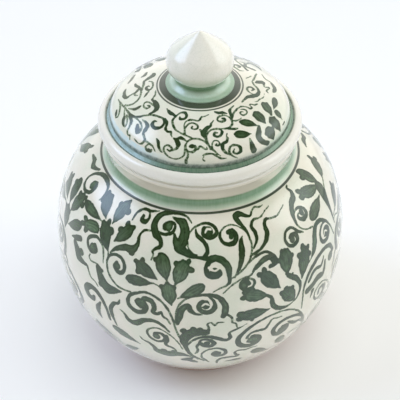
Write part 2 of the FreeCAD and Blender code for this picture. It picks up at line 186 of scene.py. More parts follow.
     [4.0, 3.5, 4.0, 3.0, 2.0, 1.4]),
    ([(59.5, 62), (58, 58)], [2.4, 0.8]),
    ([(57.8, 80.3), (60, 81.8), (62, 84), (64, 87.5), (65, 91), (68, 94.3), (72.5, 94.3), (77, 91),
      (80, 86), (82, 80)], [0.9, 1.2, 3.0, 4.0, 3.4, 2.8, 2.2, 1.6, 1.2, 1.0]),
    ([(78.3, 90), (74.5, 91.8), (70.5, 90.3), (69, 86.8), (70.5, 83.6), (74, 82.7), (77, 84.8),
      (76.5, 87.8), (74, 88.6), (72.8, 87.2)], [1.0, 1.3, 1.6, 1.8, 2.2, 2.6, 2.8, 2.6, 2.0, 1.2]),
    ([(65.5, 95.2), (61, 96.3), (57.5, 99), (56.3, 102), (57.5, 105.3), (60, 106.8), (63.5, 106.7),
      (66, 104.5), (65.5, 102), (62.5, 101.2), (60, 102.3), (59.7, 104), (61, 104.7)],
     [1.0, 0.9, 0.9, 1.3, 1.3, 1.2, 1.6, 2.2, 2.4, 2.4, 2.0, 1.4, 0.9]),
    ([(56.3, 101), (57, 106), (60.5, 110), (65, 112), (66.8, 114.5), (66.3, 116.7), (68.3, 117.7)],
     [1.2, 2.6, 3.2, 3.0, 2.4, 1.5, 0.8]),
    ([(58.3, 96.3), (55, 98.5), (52.5, 101.3), (48.8, 101.5), (46.2, 98.7), (46.8, 95.3), (50, 93.6),
      (53.3, 95), (53, 97.8), (50.3, 98.3), (48.8, 97.8)],
     [0.9, 1.8, 1.5, 1.4, 1.6, 1.8, 2.0, 2.4, 2.6, 2.2, 1.2]),
    ([(87, 104), (85.5, 99), (85, 92), (85.5, 84)], [7.0, 5.0, 2.0, 0.9]),
    ([(-68, 108.5), (-67.5, 112), (-70, 115.5), (-75, 117), (-81, 117), (-86.5, 114.5), (-88.5, 110.5),
      (-86.5, 107), (-82, 105.7), (-78, 107.3), (-77, 110), (-79, 112), (-81.5, 111)],
     [0.8, 1.3, 1.8, 2.4, 2.6, 2.0, 1.6, 1.6, 1.8, 2.4, 2.8, 2.6, 1.8]),
    ([(-106, 114.5), (-100, 115.3), (-94, 114), (-88, 116.3)], [1.0, 2.4, 2.6, 1.4]),
    ([(85.2, 85.5), (88, 86.3), (92.5, 84.2)], [0.9, 0.8]),
    ([(85.2, 87.5), (88, 88), (91, 88.6)], [0.8, 0.8]),
    ([(86.5, 97), (90, 101.3), (95.5, 104.3)], [1.2, 0.8]),
    ([(-41, 28.5), (-43, 32), (-47, 35.6)], [0.9, 0.9]),
    ([(-90.5, 90.8), (-93, 91.4), (-96, 91.5)], [0.8, 0.8]),
]
FRONT_STROKES = STEM_STROKES + CURL + BIG_SPIRAL + TWIN_SPIRAL + TENDRILS + CREEPER + ARCH
# A leaf is its base, any point that it bends through, its tip, its width, and the lobes that scallop it.
SPRAY_LEAVES = [
    ([(-13, 74.3), (-15.5, 86)], 7.4, [(-17.6, 83.4, 1.5), (-15.3, 85.6, 1.2), (-12.6, 83.6, 1.6)]),
    ([(-22, 84.2), (-36, 82.8)], 5.8, []),
    ([(-20.2, 86.6), (-32.5, 93)], 6.6, [(-32, 92.9, 1.3), (-28.6, 94, 1.5), (-29.8, 88.6, 1.7)]),
    ([(-15.5, 87), (-20, 100)], 7.8, [(-22.2, 96, 1.3), (-20.3, 98.7, 1.1), (-16.9, 96.8, 1.4)]),
    ([(-11.7, 85.3), (-7, 98)], 7.8,
     [(-11.4, 95.6, 1.5), (-8.4, 96.4, 1.6), (-5.4, 97.2, 1.3), (-4.4, 93.4, 1.6)]),
    ([(-10.2, 78.5), (2, 86)], 5.9, []),
]
LEAVES = [
    ([(-48, 91), (-56.5, 103.5)], 7.4, [(-56.3, 101.6, 1.7), (-53.6, 103.6, 1.5), (-50.6, 100.2, 2.3)]),
    ([(-46.3, 97.2), (-38, 107.5)], 6.8, [(-38.6, 106.3, 1.6), (-42.2, 106.9, 1.6), (-44.7, 103.6, 1.7)]),
    ([(-51.3, 104), (-49, 117)], 7.6, [(-52.7, 113.2, 1.7), (-49, 115.6, 1.7), (-45.9, 112, 1.7)]),
    ([(-56.5, 104), (-66.5, 114.5)], 7.4, [(-66, 113.6, 1.6), (-62.4, 112.6, 2.2), (-66, 109.8, 1.5)]),
    ([(-57.8, 102), (-76.5, 103)], 5.2, []),
    ([(-57.3, 96.3), (-61, 97.5), (-71, 94.5)], 6.0,
     [(-69.2, 97.4, 1.5), (-70, 94.4, 1.4), (-66, 93.6, 1.8)]),
    ([(-30, 41.5), (-44.5, 47.5)], 6.0, []),
    ([(37, 29), (26.5, 36.5)], 5.5, []),
    ([(46, 31), (41, 39.3)], 6.0, []),
    ([(13, 29.5), (22, 29.5)], 3.0, []),
    ([(33, 66.2), (17, 66.2)], 6.8, [(19, 67.6, 2.0), (18.4, 65.2, 1.7), (24, 63.6, 1.5)]),
    ([(32.5, 74.5), (20, 78.5)], 6.8, [(21, 79.4, 1.4), (20.2, 77, 1.5), (24.4, 79.8, 1.7)]),
    ([(43.7, 81), (44, 95)], 8.0, [(40.6, 90, 1.6), (42.6, 93.4, 1.5), (45.4, 93, 1.3), (47, 89.6, 1.6)]),
    ([(46.8, 64.2), (41, 74)], 7.4, [(39.9, 72.4, 1.5), (42, 74.2, 1.3), (45.2, 72.4, 1.6)]),
    ([(39, 75.8), (29.3, 88)], 7.4, [(28.8, 86.8, 1.4), (31.4, 88.2, 1.5), (34, 84.8, 1.7)]),
    ([(51.8, 74.5), (57, 90.5)], 8.0, [(52.2, 87, 1.7), (55, 90, 1.6), (58.3, 88.2, 1.4), (58.2, 84.6, 1.7)]),
    ([(87.5, 105.5), (69, 110.5)], 6.5, [(71, 111.8, 1.6), (70, 109, 1.6), (75, 107.4, 1.4)]),
    ([(82.5, 102.5), (66.5, 98.5)], 6.5, []),
    ([(89, 106), (85, 118)], 7.8, [(82.4, 114, 1.6), (84.8, 116.4, 1.6), (88, 114.4, 1.7)]),
    ([(90.5, 88), (100, 97)], 6.5, [(98.6, 97.2, 1.5), (100.6, 94.6, 1.4)]),
    ([(92, 84), (106.5, 86)], 5.5, []),
    ([(95, 104), (106, 112)], 6.5, [(104.4, 113, 1.5), (106.4, 110, 1.4)]),
    ([(103, 46), (106.5, 58)], 5.2, []),
    ([(-46, 32), (-56.5, 29.5)], 5.2, []),
    ([(-47, 35.5), (-59, 39)], 6.0, [(-57, 40.2, 1.5), (-58.2, 37.4, 1.4)]),
    ([(-32, 35), (-40.5, 30)], 5.2, []),
    ([(-99.5, 56), (-92.5, 48.5)], 5.0, []),
    ([(-104, 47), (-98, 38.5)], 5.0, []),
]
# A dab is one press of the brush: its middle and its radius.
DABS = [
    (-28, 71.5, 3.0), (-41.5, 86.7, 1.9), (-20.3, 52.6, 2.0), (-18.3, 111.7, 2.4), (7, 91.8, 2.5),
    (20.8, 83.6, 1.9), (-58, 88.2, 2.4), (-35, 96, 1.7), (-49.8, 72.3, 1.6), (-65.5, 81, 2.0),
    (-17.5, 41, 1.8), (-12.5, 41.5, 1.7), (-7.5, 59.5, 1.8), (-3, 60.8, 1.7), (0, 60.5, 1.6),
    (25.3, 47.3, 3.2), (46.5, 80.2, 0.8), (75.5, 71.5, 2.6), (5, 110.4, 2.5), (17.2, 107.3, 1.4),
    (2.6, 75, 2.0), (3.2, 50.6, 1.6), (8.9, 40.8, 1.5), (-80.3, 110.6, 2.4), (63.2, 104.2, 1.7),
    (50.2, 96.4, 1.8), (74, 86.4, 2.2), (40.8, 47, 2.2),
]
# A slit is a line that the brush leaves bare inside a dab.
SLITS = [
    ([(-32, 73.3), (-30.3, 70), (-28.2, 68.2)], [0.9, 0.7]),
    ([(4.4, 94.4), (7, 92.8), (9.4, 93.8)], [1.3, 0.7]),
    ([(2.9, 110), (4.2, 111.6), (6.2, 111.4)], [0.7, 1.1, 0.8]),
    ([(0.9, 74.9), (2.4, 76.2), (4.2, 75.4)], [0.7, 1.0, 0.7]),
    ([(22.1, 49.2), (21.9, 46.6), (24.2, 44.9)], [1.0, 0.8]),
    ([(72.2, 86), (73.8, 87.5), (75.6, 86.3)], [0.9, 0.7]),
]
# Brushwork on the lid. Across is the distance round the lid at LID_ROLL_RADIUS, up is the distance along
# the dome from its foot.
LID_STEM_STROKES = [
    ([(3.8, 8.5), (3, 10.5), (1.5, 12.2), (-0.5, 13.2), (-3, 13.2), (-4.5, 12), (-5.2, 10), (-5.1, 7.5),
      (-5.4, 5.2), (-7.5, 3.5), (-10, 3.7), (-12, 5.4), (-12.6, 7.2), (-11.8, 8.5), (-10.3, 8.2),
      (-9.7, 7.2), (-10.3, 6.3), (-11.1, 6.7)],
     [1.1, 1.0, 0.9, 0.9, 0.8, 0.7, 0.7, 0.8, 0.9, 0.9, 1.0]),
    ([(-9.5, 6.6), (-8, 8.2), (-7.9, 10), (-8.8, 11.5), (-10.2, 12.3)], [0.8, 1.2, 1.8, 2.0, 0.7]),
    ([(-9, 12.3), (-7.5, 13), (-6, 12.5), (-5, 11.7)], [0.9, 1.8, 1.3, 0.6]),
    ([(-3, 13.3), (-5, 14.3), (-8, 15.3), (-11, 16.6), (-13, 18.8), (-14, 21), (-13, 24), (-11.5, 25.7),
      (-9.5, 26), (-8, 25), (-7.8, 23.5), (-9, 22.4), (-10.5, 22), (-11.2, 23)],
     [0.9, 0.9, 0.9, 1.1, 1.3, 1.3, 1.1, 1.3, 1.7, 1.8, 1.6, 1.4, 1.4, 0.9]),
    ([(-13.6, 22.5), (-15, 23.3), (-17, 23.5), (-19, 24), (-21.3, 24.9)], [1.3, 1.5, 1.9, 1.6, 0.7]),
    ([(-6.2, 15.2), (-6.8, 17.5), (-6, 19.7), (-4.3, 20.9), (-2.3, 20.7), (-1, 19.5), (-1.2, 18.3),
      (-2.5, 17.8), (-3.8, 18.2), (-3.6, 19.1)], [0.9, 0.9, 0.9, 1.0, 1.0, 0.9]),
    ([(-6.8, 17), (-7.6, 19.5), (-7, 21.5), (-5.3, 22.5), (-3, 22.6), (-1, 22.2), (0, 22.9), (0.6, 24.2),
      (2.5, 24.6), (5.2, 25.4)], [0.7, 0.8, 0.9, 1.1, 1.0, 0.9, 1.2, 1.0, 0.8, 0.4]),
    ([(4, 8.5), (2.8, 11), (2.6, 13.5), (3.2, 15.7), (5, 17.3), (7.5, 17.4), (9.3, 16.5), (9, 14.7),
      (7.3, 13.7), (5.9, 14.5), (6.2, 15.8), (7.2, 15.6)],
     [0.8, 0.8, 0.8, 0.8, 0.9, 1.0, 1.2, 1.4, 1.4, 1.3, 1.0, 0.8]),
    ([(2.2, 13), (1.5, 15.5), (0, 17.7)], [0.8, 2.4, 0.8]),
    ([(1.4, 16.2), (3, 18.3), (5, 19.4), (5.3, 20.3), (6.5, 21.3), (7.2, 22)],
     [2.2, 2.0, 1.4, 1.1, 0.8, 0.6]),
    ([(7.5, 17.5), (10, 17), (13, 16.8), (15.2, 18), (16, 20), (15.5, 22), (13.8, 23.4), (11.5, 23.6),
      (9.5, 22.8), (9.1, 21.5), (10.5, 20.6), (12.5, 20.6), (13.1, 21.6), (12, 22)],
     [0.9, 0.9, 1.0, 1.1, 1.2, 1.0, 0.9, 0.9, 1.0, 1.0, 1.2, 1.4, 1.3, 1.0]),
    ([(12.8, 16.5), (15, 15.4), (16.5, 15.2)], [1.6, 1.2, 0.5]),
    ([(9.3, 26.4), (11.5, 25.4), (14, 25), (15.8, 23.8)], [1.0, 1.8, 1.6, 0.9]),
    ([(16, 20), (17, 21.5), (18, 24), (19.5, 25.2), (21.5, 25.7), (23.3, 26)],
     [0.9, 1.6, 2.0, 1.2, 0.8, 0.6]),
    ([(16, 19.6), (17.5, 18.9), (19.5, 18.7), (21, 18.9)], [0.9, 1.0, 0.8, 0.7]),
    ([(17, 20.8), (19, 22.6), (21.5, 23.4), (24.5, 23.8), (27, 23.3), (28.5, 21.8), (29, 20.2),
      (30.2, 20), (30.9, 21.3), (32, 21.2), (33, 19.8), (34.4, 19.2)],
     [1.0, 1.1, 1.1, 1.0, 1.0, 1.0, 1.0, 0.9, 0.8, 0.9, 0.9, 0.9]),
    ([(24.5, 22.6), (26.1, 21.7), (26.2, 20.1), (24.5, 19.3), (22.6, 19.9), (22.5, 21.3), (23.7, 21.6),
      (24.4, 20.9)], [0.8, 0.9, 1.0, 1.0, 1.1, 1.1, 1.0, 0.7]),
    ([(4.2, 8.3), (4.4, 10.5), (5.3, 12), (6.7, 11.8), (7.2, 10.5), (6.5, 9.5), (5.8, 10), (6.2, 10.7)],
     [0.8, 0.7, 0.7, 0.8, 0.8, 0.9, 0.8, 0.6]),
    ([(4.2, 8.3), (5.6, 6.4), (6.7, 5.1)], [0.9, 0.8, 0.5]),
    ([(12.3, 2.5), (10.7, 4), (9.9, 6), (10.8, 8.2), (12.6, 8.4), (13.9, 7), (13.7, 5), (12.2, 4.5),
      (11.3, 5.6), (11.8, 6.7)], [0.6, 0.8, 0.9, 1.1, 1.2, 1.3, 1.3, 1.1, 1.0, 0.8]),
    ([(9.9, 4.7), (8.6, 6), (7.9, 8), (8.3, 10), (10, 10.8), (10.6, 12), (10.6, 13.2), (11.2, 14.4)],
     [0.8, 1.1, 1.2, 1.5, 1.6, 1.1, 0.8, 0.6]),
    ([(1, 5.8), (2.5, 6.4), (4.3, 6.2), (5.6, 4.9), (7, 3.8), (8.6, 3.6)], [0.7, 0.9, 1.1, 0.9, 0.7, 0.6]),
    ([(1.2, 5.2), (0.9, 4.2), (1.5, 3.4)], [0.6, 0.6]),
    ([(-1.8, 10), (-1.5, 8.5), (-2.5, 7.3), (-4, 7.4), (-4.6, 8.2)], [1.0, 1.1, 1.2, 0.9, 0.5]),
    ([(-1.5, 9.5), (-0.7, 8.4), (0, 9.8), (0.9, 9.3), (1.7, 8.6), (2.4, 8.6), (2.4, 9.3)],
     [1.0, 0.9, 1.0, 0.8, 0.7, 0.8, 0.6]),
    ([(-4.2, 7), (-3.9, 5.5), (-4.4, 3.8), (-4.4, 2.2)], [0.9, 0.9, 1.0, 1.1]),
    ([(-16.5, 9.9), (-15.2, 8.7), (-14.4, 6.8), (-13.2, 5.2), (-12.8, 5)], [0.6, 1.5, 1.3, 0.8, 0.6]),
    ([(-18, 6.6), (-16.5, 6), (-15.2, 4.5)], [0.8, 0.8, 0.6]),
    ([(-18, 19.8), (-16.5, 19), (-15.5, 17.5), (-15, 15.5), (-13.8, 14.6), (-12.3, 14.8), (-11.6, 13.5),
      (-11, 12.7)], [1.0, 1.5, 1.5, 1.2, 1.1, 1.2, 0.9, 0.6]),
]
LID_WEST_STROKES = [
    ([(-46, 8.8), (-43, 10), (-40, 11), (-36, 11.7), (-32, 12.3), (-29.5, 14), (-27.5, 16.5),
      (-25.3, 18.4), (-22, 19.4), (-19, 19.6), (-17.2, 18.3), (-17, 16.3), (-18, 14.6), (-20, 14),
      (-21.6, 15), (-21.7, 16.6), (-20.6, 17)],
     [0.5, 0.8, 1.0, 1.2, 1.4, 1.1, 1.1, 1.3, 0.9, 1.2, 1.4, 1.4, 1.6, 1.8, 1.7, 1.3, 0.8]),
    ([(-26.5, 18.2), (-25.9, 20), (-26, 22), (-28, 23.5), (-31, 24), (-34, 23.8), (-36, 25.5), (-38, 26.5),
      (-41, 27)], [1.2, 1.8, 2.6, 2.6, 2.2, 1.2, 1.0, 0.9, 0.6]),
    ([(-27.5, 22.3), (-30, 22.4), (-33, 22), (-34.5, 20.8), (-34, 19.5), (-32.3, 18.8), (-30.3, 19.3),
      (-29.9, 20.5), (-31, 20.9), (-31.9, 20.4)], [1.0, 0.8, 0.9, 1.0, 1.0, 1.0, 1.0, 1.0, 1.0, 0.9]),
    ([(-37, 12.7), (-35.5, 14), (-34.2, 15.5), (-34, 17), (-34, 18)], [0.7, 1.1, 2.0, 1.7, 0.9]),
    ([(-40, 11.8), (-38.7, 13.5), (-38, 15.5), (-38.8, 18), (-40.8, 19.7), (-44, 20.6), (-47, 21.2),
      (-50, 21.6), (-53, 21.3)], [1.0, 1.0, 1.2, 1.1, 1.1, 1.1, 1.1, 1.4, 1.4]),
    ([(-44, 20.4), (-46.5, 20.2), (-48.5, 19.3), (-50.5, 17.6), (-52, 17)], [0.9, 1.2, 1.8, 1.8, 1.2]),
    ([(-46.5, 19.3), (-45, 18), (-44.8, 16.8), (-44.4, 15), (-44, 13.3), (-46, 12), (-48.5, 12),
      (-50.5, 12.5)], [1.8, 1.6, 1.0, 1.0, 1.6, 2.0, 1.6, 0.6]),
    ([(-44.8, 17), (-43, 17.5), (-42, 18.7)], [1.0, 1.0, 0.6]),
    ([(-52, 24), (-51, 25.5), (-48.5, 26), (-45, 25.8), (-43.5, 24.5), (-44.5, 23.2), (-46.5, 23),
      (-47.4, 24), (-46.4, 24.5)], [0.8, 0.9, 0.9, 1.1, 1.5, 1.7, 1.5, 1.0, 0.7]),
    ([(-44, 23.8), (-42, 24), (-41, 23), (-39.5, 22), (-38.6, 21)], [1.0, 0.9, 1.2, 1.1, 0.6]),
    ([(-38, 10.8), (-35.5, 9.6), (-34, 8.5), (-32.8, 7.2), (-31.5, 6.6)], [0.7, 0.9, 1.6, 1.8, 1.2]),
    ([(-34.5, 10.5), (-32.3, 9.4), (-30.9, 7.7), (-30.7, 6.5)], [0.7, 1.0, 0.9, 0.7]),
    ([(-33, 11.7), (-30.3, 10.2), (-29.2, 8), (-28.6, 6), (-27.5, 4.9), (-26.8, 5.3), (-26, 3.7)],
     [2.0, 1.6, 1.1, 0.9, 0.8, 0.8, 0.5]),
    ([(-33, 12.4), (-30, 12.8), (-27.3, 12.8), (-25.2, 12), (-24.2, 10.5), (-24, 9), (-24.8, 7.9)],
     [0.9, 0.9, 0.9, 0.9, 0.9, 1.0, 0.9]),
    ([(-27, 11), (-25.9, 9.8), (-25.2, 8.5)], [1.4, 2.0, 1.4]),
    ([(-27, 14.2), (-24.5, 14.2), (-22.8, 13), (-22.6, 11), (-22.4, 9.5), (-21, 8.2), (-20.3, 7),
      (-20.7, 5.2), (-22, 4.6), (-24.3, 5.3)], [0.6, 1.4, 2.0, 1.8, 1.2, 1.0, 0.9, 0.9, 0.8, 0.5]),
    ([(-20.3, 6.9), (-18.8, 6.9), (-17.6, 6.4)], [0.8, 0.9, 0.5]),
    ([(-18.5, 6), (-19, 4.7), (-18.2, 3.4), (-16.8, 3.6), (-16.6, 4.6)], [0.6, 0.8, 1.0, 1.0, 0.7]),
    ([(-45.5, 9), (-43, 9.6), (-40.5, 9.2), (-38.3, 8), (-37.2, 6.5), (-37.8, 5.3)],
     [0.6, 0.9, 0.9, 0.9, 1.0, 0.8]),
    ([(-40.5, 7.3), (-39.2, 6.3), (-38.5, 6)], [1.0, 1.6, 1.2]),
]
LID_FAR_WEST_STROKES = [
    ([(-60, 24), (-57.5, 24.3), (-55, 22.8), (-53, 21.4)], [2.0, 2.8, 2.2, 1.4]),
    ([(-61, 19.5), (-58.5, 19.7), (-57.3, 18.8)], [1.5, 2.2, 1.2]),
    ([(-60, 13), (-57, 13.3), (-54.5, 12.6)], [1.4, 2.0, 1.0]),
]
LID_EAST_STROKES = [
    ([(24.5, 3), (22.6, 5), (22.1, 7.5), (23.4, 9.5), (25.2, 11.6)], [2.0, 2.4, 2.4, 2.4, 1.2]),
    ([(18.5, 3), (18.3, 5.5), (18.7, 8.8)], [2.2, 2.2, 0.6]),
    ([(29.5, 25), (33, 24.9), (36, 24.4), (38, 22.9), (41, 21), (44, 20.5), (47, 21.5), (49, 22.8),
      (52, 23.2)], [0.6, 1.2, 1.8, 2.6, 2.0, 1.7, 1.3, 1.0, 0.9]),
    ([(40.2, 22.8), (40.8, 24.8), (43, 26), (45.3, 25.6), (46, 24.2), (44.8, 23), (43.2, 23.6)],
     [0.9, 1.0, 1.1, 1.2, 1.4, 1.5, 1.0]),
    ([(53, 18), (52.5, 20), (51.5, 21.4)], [2.6, 2.8, 1.6]),
    ([(45.8, 16), (46.8, 16.8), (48.5, 15.8), (50, 15.2), (49.4, 17.5), (51, 17.7), (53, 17.3)],
     [0.7, 0.8, 0.9, 1.0, 0.9, 1.2, 1.6]),
    ([(48, 13.2), (49.5, 12.4), (52, 12), (54, 12.6)], [1.2, 2.2, 2.2, 1.6]),
    ([(35, 20.6), (36.5, 19.6), (38.5, 19.2), (41, 18), (44, 17.8)], [0.6, 0.7, 0.7, 0.6, 0.4]),
    ([(34.8, 4.2), (36.5, 4.2)], [0.8, 0.7]),
    ([(53, 22.8), (55.5, 21.5), (58, 20), (60, 18.5)], [1.0, 1.1, 1.1, 1.0]),
    ([(55, 25.5), (56.5, 23.6), (57.5, 22.5)], [0.7, 0.7]),
    ([(54.5, 12.5), (57, 15.3), (60, 15.2)], [1.0, 0.9, 0.7]),
]
LID_EAST_LEAVES = [
    ([(25, 12), (22.5, 15), (19, 17.8)], 3.8, []),
    ([(28.6, 10.6), (28.8, 18.2)], 4.8, [(27.3, 16.6, 1.0), (30.2, 16.4, 0.9)]),
    ([(34, 11), (37.5, 17.8)], 4.6, [(35.6, 16.6, 0.9), (38.2, 15.6, 0.9)]),
    ([(37.3, 11.6), (44.4, 12.6)], 3.4, []),
    ([(36, 6), (37.3, 10.8)], 2.8, []),
    ([(32, 3), (32.2, 11.8)], 4.4, [(30.8, 9.6, 0.9), (33.6, 9.4, 0.9)]),
    ([(27.5, 2.6), (27.5, 9)], 4.4, [(26, 7, 1.2), (28, 8, 1.1), (29.2, 6.8, 1.1)]),
    ([(20.3, 10.5), (13.6, 13.2)], 4.0, [(15.5, 13.2, 1.1)]),
]
LID_DABS = [(-3, 9.7, 1.1), (-17.5, 3.9, 0.8), (33.9, 11.5, 0.6)]

# ---------------------------------------------------------------- the wall that the brush runs over


class Wall:
    """The outer line of a turned CAD node, as radius and height in mm along the wall from its start."""

    STEP = 0.25
    SMOOTHING = 7
    # The wall is found by rays towards its middle, from this far outside it in mm.
    RAYS = 700
    OUTSIDE = 150

    def __init__(self, node, centre, first, last):
        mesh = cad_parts[node].data
        tree = BVHTree.FromPolygons([v.co for v in mesh.vertices], [p.vertices for p in mesh.polygons])
        start = math.atan2(first[1] - centre[1], first[0] - centre[0])
        end = math.atan2(last[1] - centre[1], last[0] - centre[0])
        line = []
        for angle in np.linspace(start, end, self.RAYS):
            aim = Vector((math.cos(angle), 0, math.sin(angle)))
            outside = (Vector((centre[0], 0, centre[1])) + self.OUTSIDE * aim) * MM
            hit = tree.ray_cast(outside, -aim)[0]
            line.append((hit.x / MM, hit.z / MM))
        line = np.array(line)
        along = np.concatenate([[0], np.cumsum(np.hypot(*np.diff(line, axis=0).T))])
        self.length = along[-1]
        self.along = np.arange(0, self.length, self.STEP)
        self.radius = np.interp(self.along, along, line[:, 0])
        self.height = np.interp(self.along, along, line[:, 1])
        out = np.stack([np.gradient(self.height), -np.gradient(self.radius)], axis=1)
        kernel = np.ones(self.SMOOTHING) / self.SMOOTHING
        padded = np.pad(out, ((self.SMOOTHING // 2,) * 2, (0, 0)), mode="edge")
        out = np.stack([np.convolve(padded[:, axis], kernel, mode="valid") for axis in (0, 1)], axis=1)
        self.out = out / np.linalg.norm(out, axis=1)[:, None]

    def place(self, across, up, roll_radius, proud):
        """Points and outward directions for panel points, proud of the wall by that much."""
        turn = across / roll_radius
        radial = np.interp(up, self.along, self.out[:, 0])
        axial = np.interp(up, self.along, self.out[:, 1])
        radius = np.interp(up, self.along, self.radius) + proud * radial
        height = np.interp(up, self.along, self.height) + proud * axial
        points = np.stack([radius * np.sin(turn), -radius * np.cos(turn), height], axis=1)
        directions = np.stack([radial * np.sin(turn), -radial * np.cos(turn), axial], axis=1)
        return points * MM, directions


# ---------------------------------------------------------------- the brush


SPLINE_SPACING = 0.25


def spline(points):
    """A smooth line through the points, with how far along the points each sample is, from 0 to 1."""
    points = np.array(points, float)
    ends = np.vstack([2 * points[0] - points[1], points, 2 * points[-1] - points[-2]])
    samples, places = [], []
    for index in range(len(points) - 1):
        before, start, stop, after = ends[index:index + 4]
        count = max(2, int(np.linalg.norm(stop - start) / SPLINE_SPACING))
        t = np.linspace(0, 1, count, endpoint=index == len(points) - 2)[:, None]
        curve = 0.5 * (2 * start + (stop - before) * t + (2 * before - 5 * start + 4 * stop - after) * t ** 2
                       + (3 * start - before - 3 * stop + after) * t ** 3)
        samples.append(curve)
        places.append((index + t[:, 0]) / (len(points) - 1))
    return np.vstack(samples), np.concatenate(places)


LEAF_SHAPE_AT = (0.0, 0.12, 0.3, 0.5, 0.68, 0.82, 0.93, 1.0)
LEAF_SHAPE = (0.10, 0.22, 0.58, 0.9, 1.0, 0.86, 0.52, 0.14)
LOBED_SHAPE = (0.10, 0.26, 0.66, 0.98, 0.96, 0.58, 0.16, 0.0)
LOBE_SHAPE_AT = (0, 0.5, 0.8, 1)
LOBE_SHAPE = (0.6, 1, 0.8, 0.3)
HEART_AT = 0.62
LOBE_REACH = 0.55
LEAF_TIP_ROOM = 0.35


class Ink:
    """What the brush has left on a panel, as tables over a grid of points, in mm.

    Depth is how deep a point lies inside the paint, below 0 on bare glaze. Load is how much paint the brush
    held. Aside and along are the point's place across and along the bristles' way.
    """

    GRID = 0.22
    BARE = -1.0
    MIDDLE_LOAD = 0.5
    LOADS = (0.25, 1.0)
    THICKENING = 0.25
    # Each stroke's combing starts at a random place up to this, so that no two strokes are combed alike.
    TRAIL_STARTS = 500
    EDGE_REACH = 0.8
    SLIT_REACH = 1.5
    DAB_HEADING = (0.8, 0.6)
    # Kept off the last grid line, so that there is always a next point to read.
    LAST_CELL = 1.001

    def __init__(self, left, right, low, high, seed):
        self.left, self.low = left, low
        self.across = np.arange(left, right, self.GRID)
        self.up = np.arange(low, high, self.GRID)
        self.depth = np.full((len(self.up), len(self.across)), self.BARE)
        self.load = np.full(self.depth.shape, self.MIDDLE_LOAD)
        self.aside = np.zeros(self.depth.shape)
        self.along = np.zeros(self.depth.shape)
        self.random = random.Random(seed)
        self.noise = np.random.default_rng(seed)

    def press(self, x, y, radius, load, heading=DAB_HEADING, run=0.0):
        """One touch of the brush, with its heading and how far it has run since it was loaded."""
        reach = radius + self.EDGE_REACH
        i0, i1 = np.searchsorted(self.across, (x - reach, x + reach))
        j0, j1 = np.searchsorted(self.up, (y - reach, y + reach))
        if i0 == i1 or j0 == j1:
            return
        off_x, off_y = self.across[None, i0:i1] - x, self.up[j0:j1, None] - y
        depth = radius - np.hypot(off_x, off_y)
        window = self.depth[j0:j1, i0:i1]
        deeper = depth > window
        window[deeper] = depth[deeper]
        self.load[j0:j1, i0:i1][deeper] = load
        self.aside[j0:j1, i0:i1][deeper] = (off_y * heading[0] - off_x * heading[1])[deeper]
        self.along[j0:j1, i0:i1][deeper] = (run + off_x * heading[0] + off_y * heading[1])[deeper]

    def new_load(self):
        return self.random.uniform(*self.LOADS)

    def stroke(self, points, widths):
        line, place = spline(points)
        radii = np.interp(place, np.linspace(0, 1, len(widths)), widths) / 2
        self.sweep(line, radii, self.new_load())

    def sweep(self, line, radii, load):
        """Press all along a line. The paint thickens towards the end."""
        headings = np.gradient(line, axis=0)
        headings /= np.linalg.norm(headings, axis=1)[:, None]
        runs = np.concatenate([[0], np.cumsum(np.linalg.norm(np.diff(line, axis=0), axis=1))])
        start = self.random.uniform(0, self.TRAIL_STARTS)
        for (x, y), radius, heading, run in zip(line, radii, headings, runs):
            thicker = self.THICKENING * (run / runs[-1] - 0.5)
            self.press(x, y, radius, load + thicker, heading, start + run)

    def leaf(self, points, width, lobes):
        """A leaf, with a pointed lobe drawn from its heart out past each lobe's middle."""
        line, place = spline(points)
        radii = np.interp(place, LEAF_SHAPE_AT, LOBED_SHAPE if lobes else LEAF_SHAPE) * width / 2
        length = np.linalg.norm(np.diff(line, axis=0), axis=1).sum()
        room = np.interp(place, (0, 1), (length, 0)) + LEAF_TIP_ROOM
        load = self.new_load()
        self.sweep(line, np.minimum(radii, room), load)
        heart = line[int(HEART_AT * len(line))]
        for x, y, radius in lobes:
            outwards = np.array((x, y)) - heart
            tip = np.array((x, y)) + outwards / np.linalg.norm(outwards) * radius * LOBE_REACH
            lobe, place = spline([heart, (x, y), tip])
            self.sweep(lobe, np.interp(place, LOBE_SHAPE_AT, LOBE_SHAPE) * radius, load)

    def scrape(self, points, widths):
        """Leave a line bare through paint that is already there."""
        line, place = spline(points)
        radii = np.interp(place, np.linspace(0, 1, len(widths)), widths) / 2
        for (x, y), radius in zip(line, radii):
            i0, i1 = np.searchsorted(self.across, (x - self.SLIT_REACH, x + self.SLIT_REACH))
            j0, j1 = np.searchsorted(self.up, (y - self.SLIT_REACH, y + self.SLIT_REACH))
            spread = np.hypot(self.across[None, i0:i1] - x, self.up[j0:j1, None] - y) - radius
            np.minimum(self.depth[j0:j1, i0:i1], spread, out=self.depth[j0:j1, i0:i1])

    def wobble(self, amount, spacing):
        """Uneven edges, as a brush leaves them."""
        rows = int((self.up[-1] - self.low) / spacing) + 3
        columns = int((self.across[-1] - self.left) / spacing) + 3
        coarse = self.noise.uniform(-amount, amount, (rows, columns))
        v = (self.up - self.low) / spacing
        u = (self.across - self.left) / spacing
        v0, u0 = v.astype(int), u.astype(int)
        fv, fu = (v - v0)[:, None], (u - u0)[None, :]
        fv, fu = fv * fv * (3 - 2 * fv), fu * fu * (3 - 2 * fu)
        top = coarse[v0 + 1][:, u0] * (1 - fu) + coarse[v0 + 1][:, u0 + 1] * fu
        bottom = coarse[v0][:, u0] * (1 - fu) + coarse[v0][:, u0 + 1] * fu
        self.depth += bottom * (1 - fv) + top * fv

    def clear_border(self):
        self.depth[[0, -1], :] = self.BARE
        self.depth[:, [0, -1]] = self.BARE

